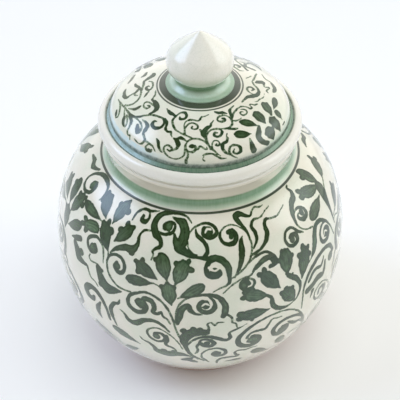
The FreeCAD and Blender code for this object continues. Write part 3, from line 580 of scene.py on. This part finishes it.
    def read(self, table, x, y):
        """A table's value at panel points, between its grid's points."""
        u = np.clip((x - self.left) / self.GRID, 0, len(self.across) - self.LAST_CELL)
        v = np.clip((y - self.low) / self.GRID, 0, len(self.up) - self.LAST_CELL)
        i, j = u.astype(int), v.astype(int)
        u, v = u - i, v - j
        return ((table[j, i] * (1 - u) + table[j, i + 1] * u) * (1 - v)
                + (table[j + 1, i] * (1 - u) + table[j + 1, i + 1] * u) * v)

    # The way round a grid cell's edge crossings, with the paint on the left, for each set of painted corners.
    TURNS = {1: ((0, 3),), 2: ((1, 0),), 3: ((1, 3),), 4: ((2, 1),), 5: ((0, 3), (2, 1)), 6: ((2, 0),),
             7: ((2, 3),), 8: ((3, 2),), 9: ((0, 2),), 10: ((1, 0), (3, 2)), 11: ((1, 2),), 12: ((3, 1),),
             13: ((0, 1),), 14: ((3, 0),)}

    def outlines(self, level):
        """Closed loops of panel points along which the depth is level."""
        depth = self.depth - level
        inside = depth > 0
        corners = (inside[:-1, :-1] * 1 + inside[:-1, 1:] * 2 + inside[1:, 1:] * 4 + inside[1:, :-1] * 8)
        following = {}
        for j, i in zip(*np.nonzero((corners > 0) & (corners < 15))):
            sides = ((0, j, i), (1, j, i + 1), (0, j + 1, i), (1, j, i))
            for enter, leave in self.TURNS[corners[j, i]]:
                following[sides[enter]] = sides[leave]
        loops = []
        while following:
            first, current = following.popitem()
            loop = [first]
            while current != first:
                loop.append(current)
                current = following.pop(current)
            points = []
            for upright, j, i in loop:
                other = depth[j + upright, i + 1 - upright]
                share = depth[j, i] / (depth[j, i] - other)
                points.append((self.left + self.GRID * (i + share * (1 - upright)),
                               self.low + self.GRID * (j + share * upright)))
            loops.append(np.array(points))
        return loops


def thinned(loop, tolerance, longest):
    """A loop's points, without those that its shape doesn't need."""
    kept = [loop[0]]
    start = 0
    for index in range(2, len(loop)):
        chord = loop[index] - loop[start]
        size = math.hypot(*chord)
        between = loop[start + 1:index] - loop[start]
        off = np.abs(between[:, 0] * chord[1] - between[:, 1] * chord[0]).max() / max(size, 1e-9)
        if off > tolerance or size > longest:
            start = index - 1
            kept.append(loop[start])
    return np.array(kept)


SMALLEST_LOOP = 10
PAINT_PROUD = 0.05
PAINT_SUNK = -0.06
INNER_SPACING = 1.5
RIM_DEPTHS = (0.17, 0.6)
INNER_DEPTH = 0.85
OUTLINE_TOLERANCE = 0.035
OUTLINE_LONGEST = 1.4
RIM_TOLERANCE = 0.05
RIM_LONGEST = 1.6
WELD = 1e-5


def paint_mesh(name, ink, wall, roll_radius):
    """The paint as a thin closed skin that follows the wall, a little proud of it and a little sunk in it."""
    outline, edges = [], []
    for loop in ink.outlines(0.0):
        if len(loop) < SMALLEST_LOOP:
            continue
        loop = thinned(loop, OUTLINE_TOLERANCE, OUTLINE_LONGEST)
        if len(loop) < 3:
            continue
        first = len(outline)
        outline.extend(loop)
        edges.extend((first + k, first + (k + 1) % len(loop)) for k in range(len(loop)))
    rims = []
    for depth in RIM_DEPTHS:
        for loop in ink.outlines(depth):
            rims.extend(thinned(loop, RIM_TOLERANCE, RIM_LONGEST))
    grid_x, grid_y = np.meshgrid(np.arange(ink.left, ink.across[-1], INNER_SPACING),
                                 np.arange(ink.low, ink.up[-1], INNER_SPACING))
    grid_x[1::2] += INNER_SPACING / 2
    inner = np.stack([grid_x.ravel(), grid_y.ravel()], axis=1)
    inner = inner[ink.read(ink.depth, inner[:, 0], inner[:, 1]) > INNER_DEPTH]
    points = [Vector(point) for point in np.vstack([outline, rims, inner])]
    flat, _, faces, _, _, _ = delaunay_2d_cdt(points, edges, [], 0, WELD, False)
    flat = np.array([tuple(point) for point in flat])
    faces = np.array(faces)
    middle = flat[faces].mean(axis=1)
    faces = faces[ink.read(ink.depth, middle[:, 0], middle[:, 1]) > 0]
    used = np.unique(faces)
    renumber = np.full(len(flat), -1)
    renumber[used] = np.arange(len(used))
    flat, faces = flat[used], renumber[faces]
    count = len(flat)

    sides = {}
    for a, b, c in faces.tolist():
        for side in ((a, b), (b, c), (c, a)):
            sides[side] = True
    border = [side for side in sides if side[::-1] not in sides]
    walls = [(b, a, a + count, b + count) for a, b in border]
    top, out = wall.place(flat[:, 0], flat[:, 1], roll_radius, PAINT_PROUD)
    bottom, _ = wall.place(flat[:, 0], flat[:, 1], roll_radius, PAINT_SUNK)
    mesh = bpy.data.meshes.new(name)
    under = faces[:, ::-1] + count
    mesh.from_pydata(np.vstack([top, bottom]).tolist(), [], faces.tolist() + under.tolist() + walls)
    depth = np.clip(ink.read(ink.depth, flat[:, 0], flat[:, 1]), 0, None)
    load = ink.read(ink.load, flat[:, 0], flat[:, 1])
    aside = ink.read(ink.aside, flat[:, 0], flat[:, 1])
    along = ink.read(ink.along, flat[:, 0], flat[:, 1])
    for label, values in (("depth", depth), ("load", load), ("aside", aside), ("along", along)):
        attribute = mesh.attributes.new(label, "FLOAT", "POINT")
        attribute.data.foreach_set("value", np.tile(values, 2))
    mesh.polygons.foreach_set("use_smooth", [True] * len(mesh.polygons))
    mesh.normals_split_custom_set_from_vertices(np.vstack([out, out]).tolist())
    mesh.validate(clean_customdata=False)
    piece = bpy.data.objects.new(name, mesh)
    bpy.context.scene.collection.objects.link(piece)
    return piece


def moved(points, across=0.0, up=0.0, flip=False):
    """The same points elsewhere on the panel, mirrored about its zero first where flip is set."""
    side = -1 if flip else 1
    return [(side * x + across, y + up) for x, y in points]


def draw_strokes(ink, strokes, across=0.0, up=0.0, flip=False):
    for points, widths in strokes:
        ink.stroke(moved(points, across, up, flip), widths)


def draw_leaves(ink, leaves, across=0.0, up=0.0):
    for points, width, lobes in leaves:
        lobes = [(x + across, y + up, radius) for x, y, radius in lobes]
        ink.leaf(moved(points, across, up), width, lobes)


def draw_dabs(ink, dabs, across=0.0):
    for x, y, radius in dabs:
        ink.press(x + across, y, radius, ink.new_load())


# ---------------------------------------------------------------- materials


class Nodes:
    """A short way to write a node tree: add gives back a node, link joins two, the rest give a result."""

    def __init__(self, tree):
        self.tree = tree

    def add(self, kind, values=(), **settings):
        node = self.tree.nodes.new(kind)
        for name, value in settings.items():
            setattr(node, name, value)
        for socket, value in dict(values).items():
            if isinstance(value, bpy.types.NodeSocket):
                self.tree.links.new(value, node.inputs[socket])
            else:
                node.inputs[socket].default_value = value
        return node

    def link(self, value, shader, socket):
        self.tree.links.new(value, shader.inputs[socket])

    def math(self, operation, *values):
        return self.add("ShaderNodeMath", enumerate(values), operation=operation).outputs[0]

    def ramp(self, value, low, high, start=0.0, end=1.0):
        """A smooth step from start, at low, to end, at high."""
        values = {"Value": value, "From Min": low, "From Max": high, "To Min": start, "To Max": end}
        return self.add("ShaderNodeMapRange", values, interpolation_type="SMOOTHSTEP").outputs[0]

    def band(self, value, low, high, blur):
        """1 between low and high, falling to 0 within blur of each."""
        rise = self.ramp(value, low - blur, low + blur)
        fall = self.ramp(value, high - blur, high + blur, 1.0, 0.0)
        return self.math("MULTIPLY", rise, fall)

    def mix(self, share, first, second):
        node = self.add("ShaderNodeMix", data_type="RGBA")
        for index, value in ((0, share), (6, first), (7, second)):
            if isinstance(value, bpy.types.NodeSocket):
                self.tree.links.new(value, node.inputs[index])
            elif index == 0:
                node.inputs[index].default_value = value
            else:
                node.inputs[index].default_value = (*value, 1.0)
        return node.outputs[2]

    def noise(self, vector, scale, detail=2.0, roughness=0.5):
        values = {"Vector": vector, "Scale": scale, "Detail": detail, "Roughness": roughness}
        return self.add("ShaderNodeTexNoise", values).outputs[0]

    def bump(self, height, strength, distance):
        values = {"Height": height, "Strength": strength, "Distance": distance}
        return self.add("ShaderNodeBump", values).outputs[0]


def srgb(red, green, blue):
    """Linear colour of an 8-bit display colour."""
    def linear(level):
        level /= 255
        return level / 12.92 if level <= 0.04045 else ((level + 0.055) / 1.055) ** 2.4
    return tuple(linear(level) for level in (red, green, blue))


def new_material(name):
    material = bpy.data.materials.new(name)
    material.use_nodes = True
    return material, Nodes(material.node_tree), material.node_tree.nodes["Principled BSDF"]


def point_in_mm(nodes):
    """Object coordinates in mm."""
    point = nodes.add("ShaderNodeTexCoord").outputs["Object"]
    return nodes.add("ShaderNodeVectorMath", {0: point, 3: 1 / MM}, operation="SCALE").outputs[0]


GROUND = srgb(236, 231, 215)
GROUND_DEEP = srgb(224, 227, 208)
# Pale pooled-glaze green; on the knob's lower half it is also painted shade.
PALE_POOL_AND_SHADE = srgb(184, 211, 184)
# Deep pooled-glaze green; in the crease under the knob it is also painted shade, and the crazing lines use it
# too.
DEEP_POOL_AND_SHADE = srgb(92, 138, 92)
TEAL = srgb(54, 114, 84)
TEAL_DEEP = srgb(20, 56, 38)
WARMER_TOWARDS_FOOT = srgb(190, 160, 144)
# Painted reflection colour of the blue window, for the lid ring's left side.
WINDOW_REFLECTION_BLUE = srgb(196, 228, 238)
# Painted reflection colour for the lid ring's right side.
RIGHT_REFLECTION_GREEN = srgb(156, 190, 162)
RING_HEIGHTS = ("height", 125.5, 132.5)
# Painted highlight colour for the knob's flare.
FLARE_HIGHLIGHT = srgb(210, 238, 220)
# Painted highlight colour for the top of the knob.
KNOB_TOP_HIGHLIGHT = srgb(241, 244, 239)
LINE_GREEN = srgb(20, 46, 18)
BEIGE = srgb(224, 217, 198)
BARE_CLAY = srgb(178, 138, 122)
RIM_WHITE = srgb(236, 233, 222)
BRUSH_DARK = srgb(30, 54, 18)
BRUSH_WASH = srgb(92, 122, 84)
BRUSH_THIN = srgb(44, 72, 34)
BRUSH_BLUE = srgb(46, 74, 58)
BRUSH_HALO = srgb(150, 170, 136)
POOLED = (PALE_POOL_AND_SHADE, DEEP_POOL_AND_SHADE, TEAL)
MOTTLED = (WINDOW_REFLECTION_BLUE, RIGHT_REFLECTION_GREEN, TEAL_DEEP, FLARE_HIGHLIGHT)
GLOSS_ROUGHNESS = 0.09
ROUGHNESS_RISE = 0.07
COAT_ROUGHNESS = 0.03
GLAZE_IOR = 1.5
GLAZE_SPECULAR = 0.3
# How often each kind of unevenness comes again, per mm, and per unit of direction for the streaks.
RIPPLE_SCALE = 0.05
PORE_SCALE = 1.6
CLOUD_SCALE = 0.045
SPECK_SCALE = 1.1
DRIFT_SCALE = 0.09
MOTTLE_SCALE = 0.55
STREAK_SCALE = 60.0
CRAZING_SCALE = 0.55
COMB_SCALE = 1.5
POOL_SCALE = 0.28
BLUE_SCALE = 0.035
PORE_HEIGHT = 0.02
CRAZING_WIDTH = 0.05
GATE_BLUR = 0.3
# How much of its blur a band's edge wanders by.
WANDER = 0.9
# How far the combed streaks are drawn out along a stroke.
COMB_STRETCH = 0.09


def finish_glaze(nodes, shader, colour, point):
    """The gloss that every glazed surface shares, with the glaze's slight unevenness."""
    ripple = nodes.noise(point, RIPPLE_SCALE)
    pores = nodes.noise(point, PORE_SCALE)
    height = nodes.math("ADD", ripple, nodes.math("MULTIPLY", pores, PORE_HEIGHT))
    nodes.link(nodes.bump(height, 0.35, 0.0006), shader, "Normal")
    roughness = nodes.ramp(pores, 0.3, 0.75, GLOSS_ROUGHNESS, GLOSS_ROUGHNESS + ROUGHNESS_RISE)
    nodes.link(roughness, shader, "Roughness")
    shader.inputs["Coat Weight"].default_value = 1.0
    shader.inputs["Coat Roughness"].default_value = COAT_ROUGHNESS
    shader.inputs["IOR"].default_value = GLAZE_IOR
    shader.inputs["Specular IOR Level"].default_value = GLAZE_SPECULAR
    nodes.link(colour, shader, "Base Color")


def glaze(name, bands, crazing):
    """Celadon glaze with bands and crazing. Some bands are painted light: highlights, reflections and shade
    put into the colour.

    A band says what it goes by, from, to, blur, strength, colour and, if need be, gates that it is kept to.
    """
    material, nodes, shader = new_material(name)
    point = point_in_mm(nodes)
    x, y, height = nodes.add("ShaderNodeSeparateXYZ", {0: point}).outputs
    squares = nodes.math("ADD", nodes.math("MULTIPLY", x, x), nodes.math("MULTIPLY", y, y))
    radius = nodes.math("SQRT", squares)
    # Side is -1 at the left and 1 at the right; the lid ring's bands by side are painted reflections.
    measures = {"radius": radius, "height": height, "side": nodes.math("DIVIDE", x, radius)}
    cloud = nodes.noise(point, CLOUD_SCALE, 3.0)
    colour = nodes.mix(nodes.ramp(cloud, 0.38, 0.68), GROUND, GROUND_DEEP)
    speck = nodes.ramp(nodes.noise(point, SPECK_SCALE, 3.0), 0.70, 0.78, 0.0, 0.35)
    colour = nodes.mix(speck, colour, BARE_CLAY)
    drift = nodes.math("SUBTRACT", nodes.noise(point, DRIFT_SCALE), 0.5)
    around = nodes.add("ShaderNodeVectorMath", {0: point, 1: (1, 1, 0.05)}, operation="MULTIPLY").outputs[0]
    around = nodes.add("ShaderNodeVectorMath", {0: around}, operation="NORMALIZE").outputs[0]
    mottle = nodes.ramp(nodes.noise(point, MOTTLE_SCALE, 3.0, 0.7), 0.42, 0.62)
    streak = nodes.ramp(nodes.noise(around, STREAK_SCALE, 3.0, 0.7), 0.3, 0.7, 0.86, 1.0)
    for goes_by, low, high, blur, strength, tint, *gates in bands:
        measure = nodes.math("MULTIPLY_ADD", drift, blur * WANDER, measures[goes_by])
        mask = nodes.math("MULTIPLY", nodes.band(measure, low, high, blur), strength)
        if tint in POOLED:
            mask = nodes.math("MULTIPLY", mask, streak)
        for what, start, end in gates:
            mask = nodes.math("MULTIPLY", mask, nodes.band(measures[what], start, end, GATE_BLUR))
        if tint in MOTTLED:
            mask = nodes.math("MULTIPLY", mask, nodes.math("MULTIPLY_ADD", mottle, 0.35, 0.65))
        colour = nodes.mix(mask, colour, tint)
    cells = {"Vector": point, "Scale": CRAZING_SCALE}
    edge = nodes.add("ShaderNodeTexVoronoi", cells, feature="DISTANCE_TO_EDGE").outputs["Distance"]
    craze = nodes.math("MULTIPLY", nodes.ramp(edge, 0.0, CRAZING_WIDTH, 1.0, 0.0), crazing)
    colour = nodes.mix(craze, colour, DEEP_POOL_AND_SHADE)
    finish_glaze(nodes, shader, colour, point)
    return material


def brushwork_material():
    """Green-black underglaze: thin at a stroke's edge, dark inside it, combed lighter by the bristles."""
    material, nodes, shader = new_material("underglaze_brushwork")
    point = point_in_mm(nodes)
    depth, load, aside, along = (nodes.add("ShaderNodeAttribute", attribute_name=label).outputs["Fac"]
                                 for label in ("depth", "load", "aside", "along"))
    drawn_out = nodes.math("MULTIPLY", along, COMB_STRETCH)
    trail = nodes.add("ShaderNodeCombineXYZ", {0: aside, 1: drawn_out}).outputs[0]
    combed = nodes.ramp(nodes.noise(trail, COMB_SCALE, 2.0, 0.6), 0.40, 0.64)
    pooled = nodes.ramp(nodes.noise(point, POOL_SCALE, 2.0, 0.6), 0.38, 0.62)
    wash = nodes.math("MULTIPLY_ADD", combed, 0.6, nodes.math("MULTIPLY", pooled, 0.5))
    wash = nodes.math("MULTIPLY", wash, nodes.ramp(depth, 0.45, 1.35))
    wash = nodes.math("MULTIPLY", wash, nodes.ramp(load, 0.2, 1.0, 1.0, 0.3))
    colour = nodes.mix(nodes.ramp(load, 0.1, 0.9, 0.55, 0.0), BRUSH_DARK, BRUSH_THIN)
    colour = nodes.mix(wash, colour, BRUSH_WASH)
    bluer = nodes.ramp(nodes.noise(point, BLUE_SCALE, 1.0), 0.48, 0.62, 0.0, 0.3)
    colour = nodes.mix(bluer, colour, BRUSH_BLUE)
    colour = nodes.mix(nodes.ramp(depth, 0.0, 0.2, 0.75, 0.0), colour, BRUSH_HALO)
    finish_glaze(nodes, shader, colour, point)
    return material


def dress(node, material):
    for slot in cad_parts[node].material_slots:
        slot.material = material


OUTSIDE_NECK = ("radius", 42.7, 60)
FAINT_CRAZING = 0.05
CLEAR_CRAZING = 0.13
dress("jar_body", glaze("jar_glaze", [
    ("height", 107.4, 121.3, 0.7, 0.85, PALE_POOL_AND_SHADE, OUTSIDE_NECK),
    ("height", 108.7, 113.0, 1.1, 0.9, DEEP_POOL_AND_SHADE, OUTSIDE_NECK),
    ("height", 112.3, 123.0, 0.8, 1.0, BEIGE),
    ("radius", 45.65, 46.75, 0.12, 0.95, LINE_GREEN, ("height", 104, 109)),
    # Darker and warmer towards the foot.
    ("height", -1.0, 15.5, 5.0, 0.8, WARMER_TOWARDS_FOOT),
    ("height", -1.0, 3.1, 0.35, 1.0, BARE_CLAY),
    ("height", 119.7, 122.0, 0.3, 0.8, RIM_WHITE),
], FAINT_CRAZING))
dress("lid", glaze("lid_glaze", [
    ("radius", 40.9, 41.4, 0.6, 0.35, TEAL, RING_HEIGHTS),
    ("radius", 41.2, 42.9, 0.25, 0.88, TEAL, RING_HEIGHTS),
    # Painted reflection: the groove ring's left side is bluish-white for the blue window mirrored there, over
    # the teal pooled glaze.
    ("side", -1.5, -0.5, 0.22, 0.8, WINDOW_REFLECTION_BLUE, ("radius", 40.2, 42.6), RING_HEIGHTS),
    # Painted reflection: the groove ring's right side is a paler green for the light mirrored there, over the
    # teal pooled glaze.
    ("side", 0.7, 1.5, 0.25, 0.6, RIGHT_REFLECTION_GREEN, ("radius", 40.6, 42.6), RING_HEIGHTS),
    ("radius", 41.05, 41.45, 0.15, 0.8, TEAL_DEEP, RING_HEIGHTS),
    ("radius", 42.5, 43.3, 0.18, 0.9, TEAL_DEEP, ("height", 126.0, 129.0)),
    ("height", 120.8, 122.6, 0.6, 0.7, BEIGE),
    ("height", 110.0, 121.2, 0.2, 0.9, BARE_CLAY),
    ("radius", 14.0, 18.4, 0.25, 0.95, LINE_GREEN, ("height", 141.0, 146.0)),
    ("radius", 18.95, 19.7, 0.12, 0.92, LINE_GREEN, ("height", 141.0, 146.0)),
    ("radius", 43.7, 50.0, 0.5, 0.9, RIM_WHITE, ("height", 122.5, 129.0)),
], FAINT_CRAZING))
dress("lid_knob", glaze("knob_glaze", [
    # Painted shade: the knob's lower half, which faces down, is tinted pale green to darken it.
    ("height", 140.0, 154.5, 3.0, 0.5, PALE_POOL_AND_SHADE),
    # Painted highlight: the knob's top is whitened where the light from above falls on it.
    ("height", 157.0, 180.0, 5.0, 0.3, KNOB_TOP_HIGHLIGHT),
    # Painted highlight: the flare's outer part is a pale aqua for the bright reflection on it, over the pale
    # pooled glaze.
    ("height", 142.2, 146.8, 0.8, 0.75, FLARE_HIGHLIGHT),
    ("height", 146.2, 150.2, 0.9, 0.8, PALE_POOL_AND_SHADE),
    # Deep pooled glaze in the crease under the knob, made deeper still as painted shade.
    ("height", 146.9, 149.8, 0.8, 0.95, DEEP_POOL_AND_SHADE, ("radius", 0, 12.5)),
    ("radius", 13.6, 17.0, 0.6, 0.5, DEEP_POOL_AND_SHADE, ("height", 141.0, 145.6)),
], CLEAR_CRAZING))
brush_material = brushwork_material()


# Groups that come again round the sides: strokes, how far across and up, and whether mirrored first.
SIDE_GROUPS = [
    (BIG_SPIRAL, -48, 2, True), (TENDRILS, -94, 0, False), (ARCH, -93, -1, False), (CREEPER, 96, 2, False),
    (TWIN_SPIRAL, 44, 7, False), (ARCH, 95, 1, True), (TENDRILS, 76, -2, True), (CURL, 86, 3, False),
]
SIDE_SPRAY = (-72, 7)
# Strokes at the middle of each side, across where the front and back panels meet.
SEAM_STROKES = [
    ([(0.4, 27), (1.8, 34), (-0.8, 42), (1.2, 50), (-0.8, 58), (0.8, 66), (-0.6, 76), (1.2, 86), (0.2, 93)],
     [0.8, 1.6, 1.3, 1.3, 1.7, 1.2, 1.4, 1.0, 0.6]),
    ([(1.2, 36), (-3.0, 39), (-6.8, 37.4), (-7.8, 33.8), (-5.4, 31.4), (-2.9, 33), (-4, 35)],
     [0.8, 1.2, 1.7, 2.2, 2.4, 2.0, 1.4]),
    ([(1.0, 50.5), (4.6, 53.5), (4.4, 57.6), (1.9, 59)], [0.7, 1.8, 2.0, 0.8]),
    ([(-0.6, 77), (-3.6, 80.5), (-2.6, 85), (-4.4, 89)], [0.7, 1.6, 1.3, 0.6]),
]
WOBBLE = 0.16
WOBBLE_SPACING = 1.1


def paint(name, ink, wall, roll_radius, body):
    ink.wobble(WOBBLE, WOBBLE_SPACING)
    ink.clear_border()
    piece = paint_mesh(name, ink, wall, roll_radius)
    piece.data.materials.append(brush_material)
    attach(piece, body)


# From where to where up the wall each node's panels reach.
BODY_PANEL_UP = (24.0, 119.5)
LID_PANEL_UP = (1.2, 27.6)
LID_SEED = 5
# Half way round the unrolled belly, which is how wide each of its two panels is, and all round the lid.
HALF_TURN = math.pi * BODY_ROLL_RADIUS
LID_TURN = 2 * math.pi * LID_ROLL_RADIUS
LID_FRONT_STROKES = LID_STEM_STROKES + LID_WEST_STROKES + LID_FAR_WEST_STROKES + LID_EAST_STROKES
# The lid's panels: name, left and right edges, strokes, how far across the strokes and then the leaves are
# moved, and dabs.
LID_PANELS = [
    ("lid_brushwork_front", -LID_TURN / 3, LID_TURN / 3, LID_FRONT_STROKES, 0, 0, LID_DABS),
    ("lid_brushwork_back", LID_TURN / 3, LID_TURN * 2 / 3, LID_WEST_STROKES, 115, 84, []),
]

body_wall = Wall("jar_body", (20.0, 60.0), (46.49, FOOT_TOP), (46.26, SHOULDER_TOP))
for name, start, seed in (("brushwork_front", 0.0, 3), ("brushwork_back", HALF_TURN, 4)):
    ink = Ink(start - HALF_TURN / 2, start + HALF_TURN / 2, *BODY_PANEL_UP, seed)
    draw_strokes(ink, FRONT_STROKES, start)
    for strokes, across, up, flip in SIDE_GROUPS:
        draw_strokes(ink, strokes, start + across, up, flip)
    for side in (-HALF_TURN / 2, HALF_TURN / 2):
        draw_strokes(ink, SEAM_STROKES, start + side)
    draw_leaves(ink, LEAVES, start)
    draw_leaves(ink, SPRAY_LEAVES, start)
    draw_leaves(ink, SPRAY_LEAVES, start + SIDE_SPRAY[0], SIDE_SPRAY[1])
    draw_dabs(ink, DABS, start)
    for points, widths in SLITS:
        ink.scrape(moved(points, start), widths)
    paint(name, ink, body_wall, BODY_ROLL_RADIUS, "jar")

lid_wall = Wall("lid", (20.0, 118.0), (41.3, 128.6), (19.6, 142.8))
for name, left, right, strokes, strokes_across, leaves_across, dabs in LID_PANELS:
    ink = Ink(left, right, *LID_PANEL_UP, LID_SEED)
    draw_strokes(ink, strokes, strokes_across)
    draw_leaves(ink, LID_EAST_LEAVES, leaves_across)
    draw_dabs(ink, dabs)
    paint(name, ink, lid_wall, LID_ROLL_RADIUS, "lid")


# ---------------------------------------------------------------- studio

CAMERA_ELEVATION = math.radians(41.35)
CAMERA_DISTANCE = 0.5844
AIM_HEIGHT = 0.0739
LENS = 108.0
SENSOR = 36.0
FLOOR_HALF = 3.0
FLOOR_GREY = 0.9
FLOOR_GLOW = 0.06
FLOOR_ROUGHNESS = 0.9
SOFTBOX_PLACE = (0.15, -0.15, 1.3)
SOFTBOX_AIM = (0, 0, 0.08)
SOFTBOX_SIDE = 0.9
SOFTBOX_POWER = 6.2


def make_camera():
    data = bpy.data.cameras.new("camera")
    data.lens = LENS
    data.sensor_width = SENSOR
    camera = bpy.data.objects.new("camera", data)
    back = CAMERA_DISTANCE * math.cos(CAMERA_ELEVATION)
    up = CAMERA_DISTANCE * math.sin(CAMERA_ELEVATION)
    camera.location = (0, -back, AIM_HEIGHT + up)
    camera.rotation_euler = (math.pi / 2 - CAMERA_ELEVATION, 0, 0)
    bpy.context.scene.collection.objects.link(camera)
    bpy.context.scene.camera = camera


def make_floor():
    mesh = bpy.data.meshes.new("floor")
    corners = [(-FLOOR_HALF, -FLOOR_HALF, 0), (FLOOR_HALF, -FLOOR_HALF, 0),
               (FLOOR_HALF, FLOOR_HALF, 0), (-FLOOR_HALF, FLOOR_HALF, 0)]
    mesh.from_pydata(corners, [], [(0, 1, 2, 3)])
    floor = bpy.data.objects.new("floor", mesh)
    bpy.context.scene.collection.objects.link(floor)
    material, _, shader = new_material("floor_paper")
    shader.inputs["Base Color"].default_value = (FLOOR_GREY, FLOOR_GREY, FLOOR_GREY, 1)
    shader.inputs["Emission Color"].default_value = (1, 1, 1, 1)
    shader.inputs["Emission Strength"].default_value = FLOOR_GLOW
    shader.inputs["Roughness"].default_value = FLOOR_ROUGHNESS
    mesh.materials.append(material)


def make_softbox():
    """The one lamp, above the jar. It lights the jar but isn't mirrored in the glaze, as the tent is."""
    data = bpy.data.lights.new("top_softbox", "AREA")
    data.shape = "RECTANGLE"
    data.size = SOFTBOX_SIDE
    data.size_y = SOFTBOX_SIDE
    data.energy = SOFTBOX_POWER
    light = bpy.data.objects.new("top_softbox", data)
    light.visible_glossy = False
    light.location = SOFTBOX_PLACE
    direction = Vector(SOFTBOX_AIM) - Vector(SOFTBOX_PLACE)
    light.rotation_euler = direction.to_track_quat("-Z", "Y").to_euler()
    bpy.context.scene.collection.objects.link(light)


TENT_WHITE = (1.30, 1.295, 1.27)
# What breaks up the tent: the way to its middle, how many degrees from there it ends and is full, and its
# colour. They are the dark opening above the front, the dim left, the blue window and the white panel.
TENT_PATCHES = [
    ((0.0, -0.42, 0.91), 84, 44, (0.22, 0.21, 0.18)),
    ((-0.97, 0.15, -0.05), 58, 22, (0.62, 0.64, 0.66)),
    ((-0.75, 0.13, 0.65), 23, 9, (2.8, 3.35, 4.6)),
    ((0.84, 0.1, 0.52), 27, 10, (2.4, 2.55, 2.6)),
]


def cosine(degrees):
    return math.cos(math.radians(degrees))


def make_world():
    """A white tent round the jar, with its patches."""
    world = bpy.data.worlds.new("studio")
    bpy.context.scene.world = world
    world.use_nodes = True
    nodes = Nodes(world.node_tree)
    direction = nodes.add("ShaderNodeTexCoord").outputs["Generated"]
    tent = TENT_WHITE
    for towards, outer, inner, colour in TENT_PATCHES:
        ways = {0: direction, 1: towards}
        facing = nodes.add("ShaderNodeVectorMath", ways, operation="DOT_PRODUCT").outputs["Value"]
        tent = nodes.mix(nodes.ramp(facing, cosine(outer), cosine(inner)), tent, colour)
    nodes.link(tent, world.node_tree.nodes["Background"], "Color")


make_camera()
make_floor()
make_world()
make_softbox()
bpy.context.scene.view_settings.view_transform = "Standard"
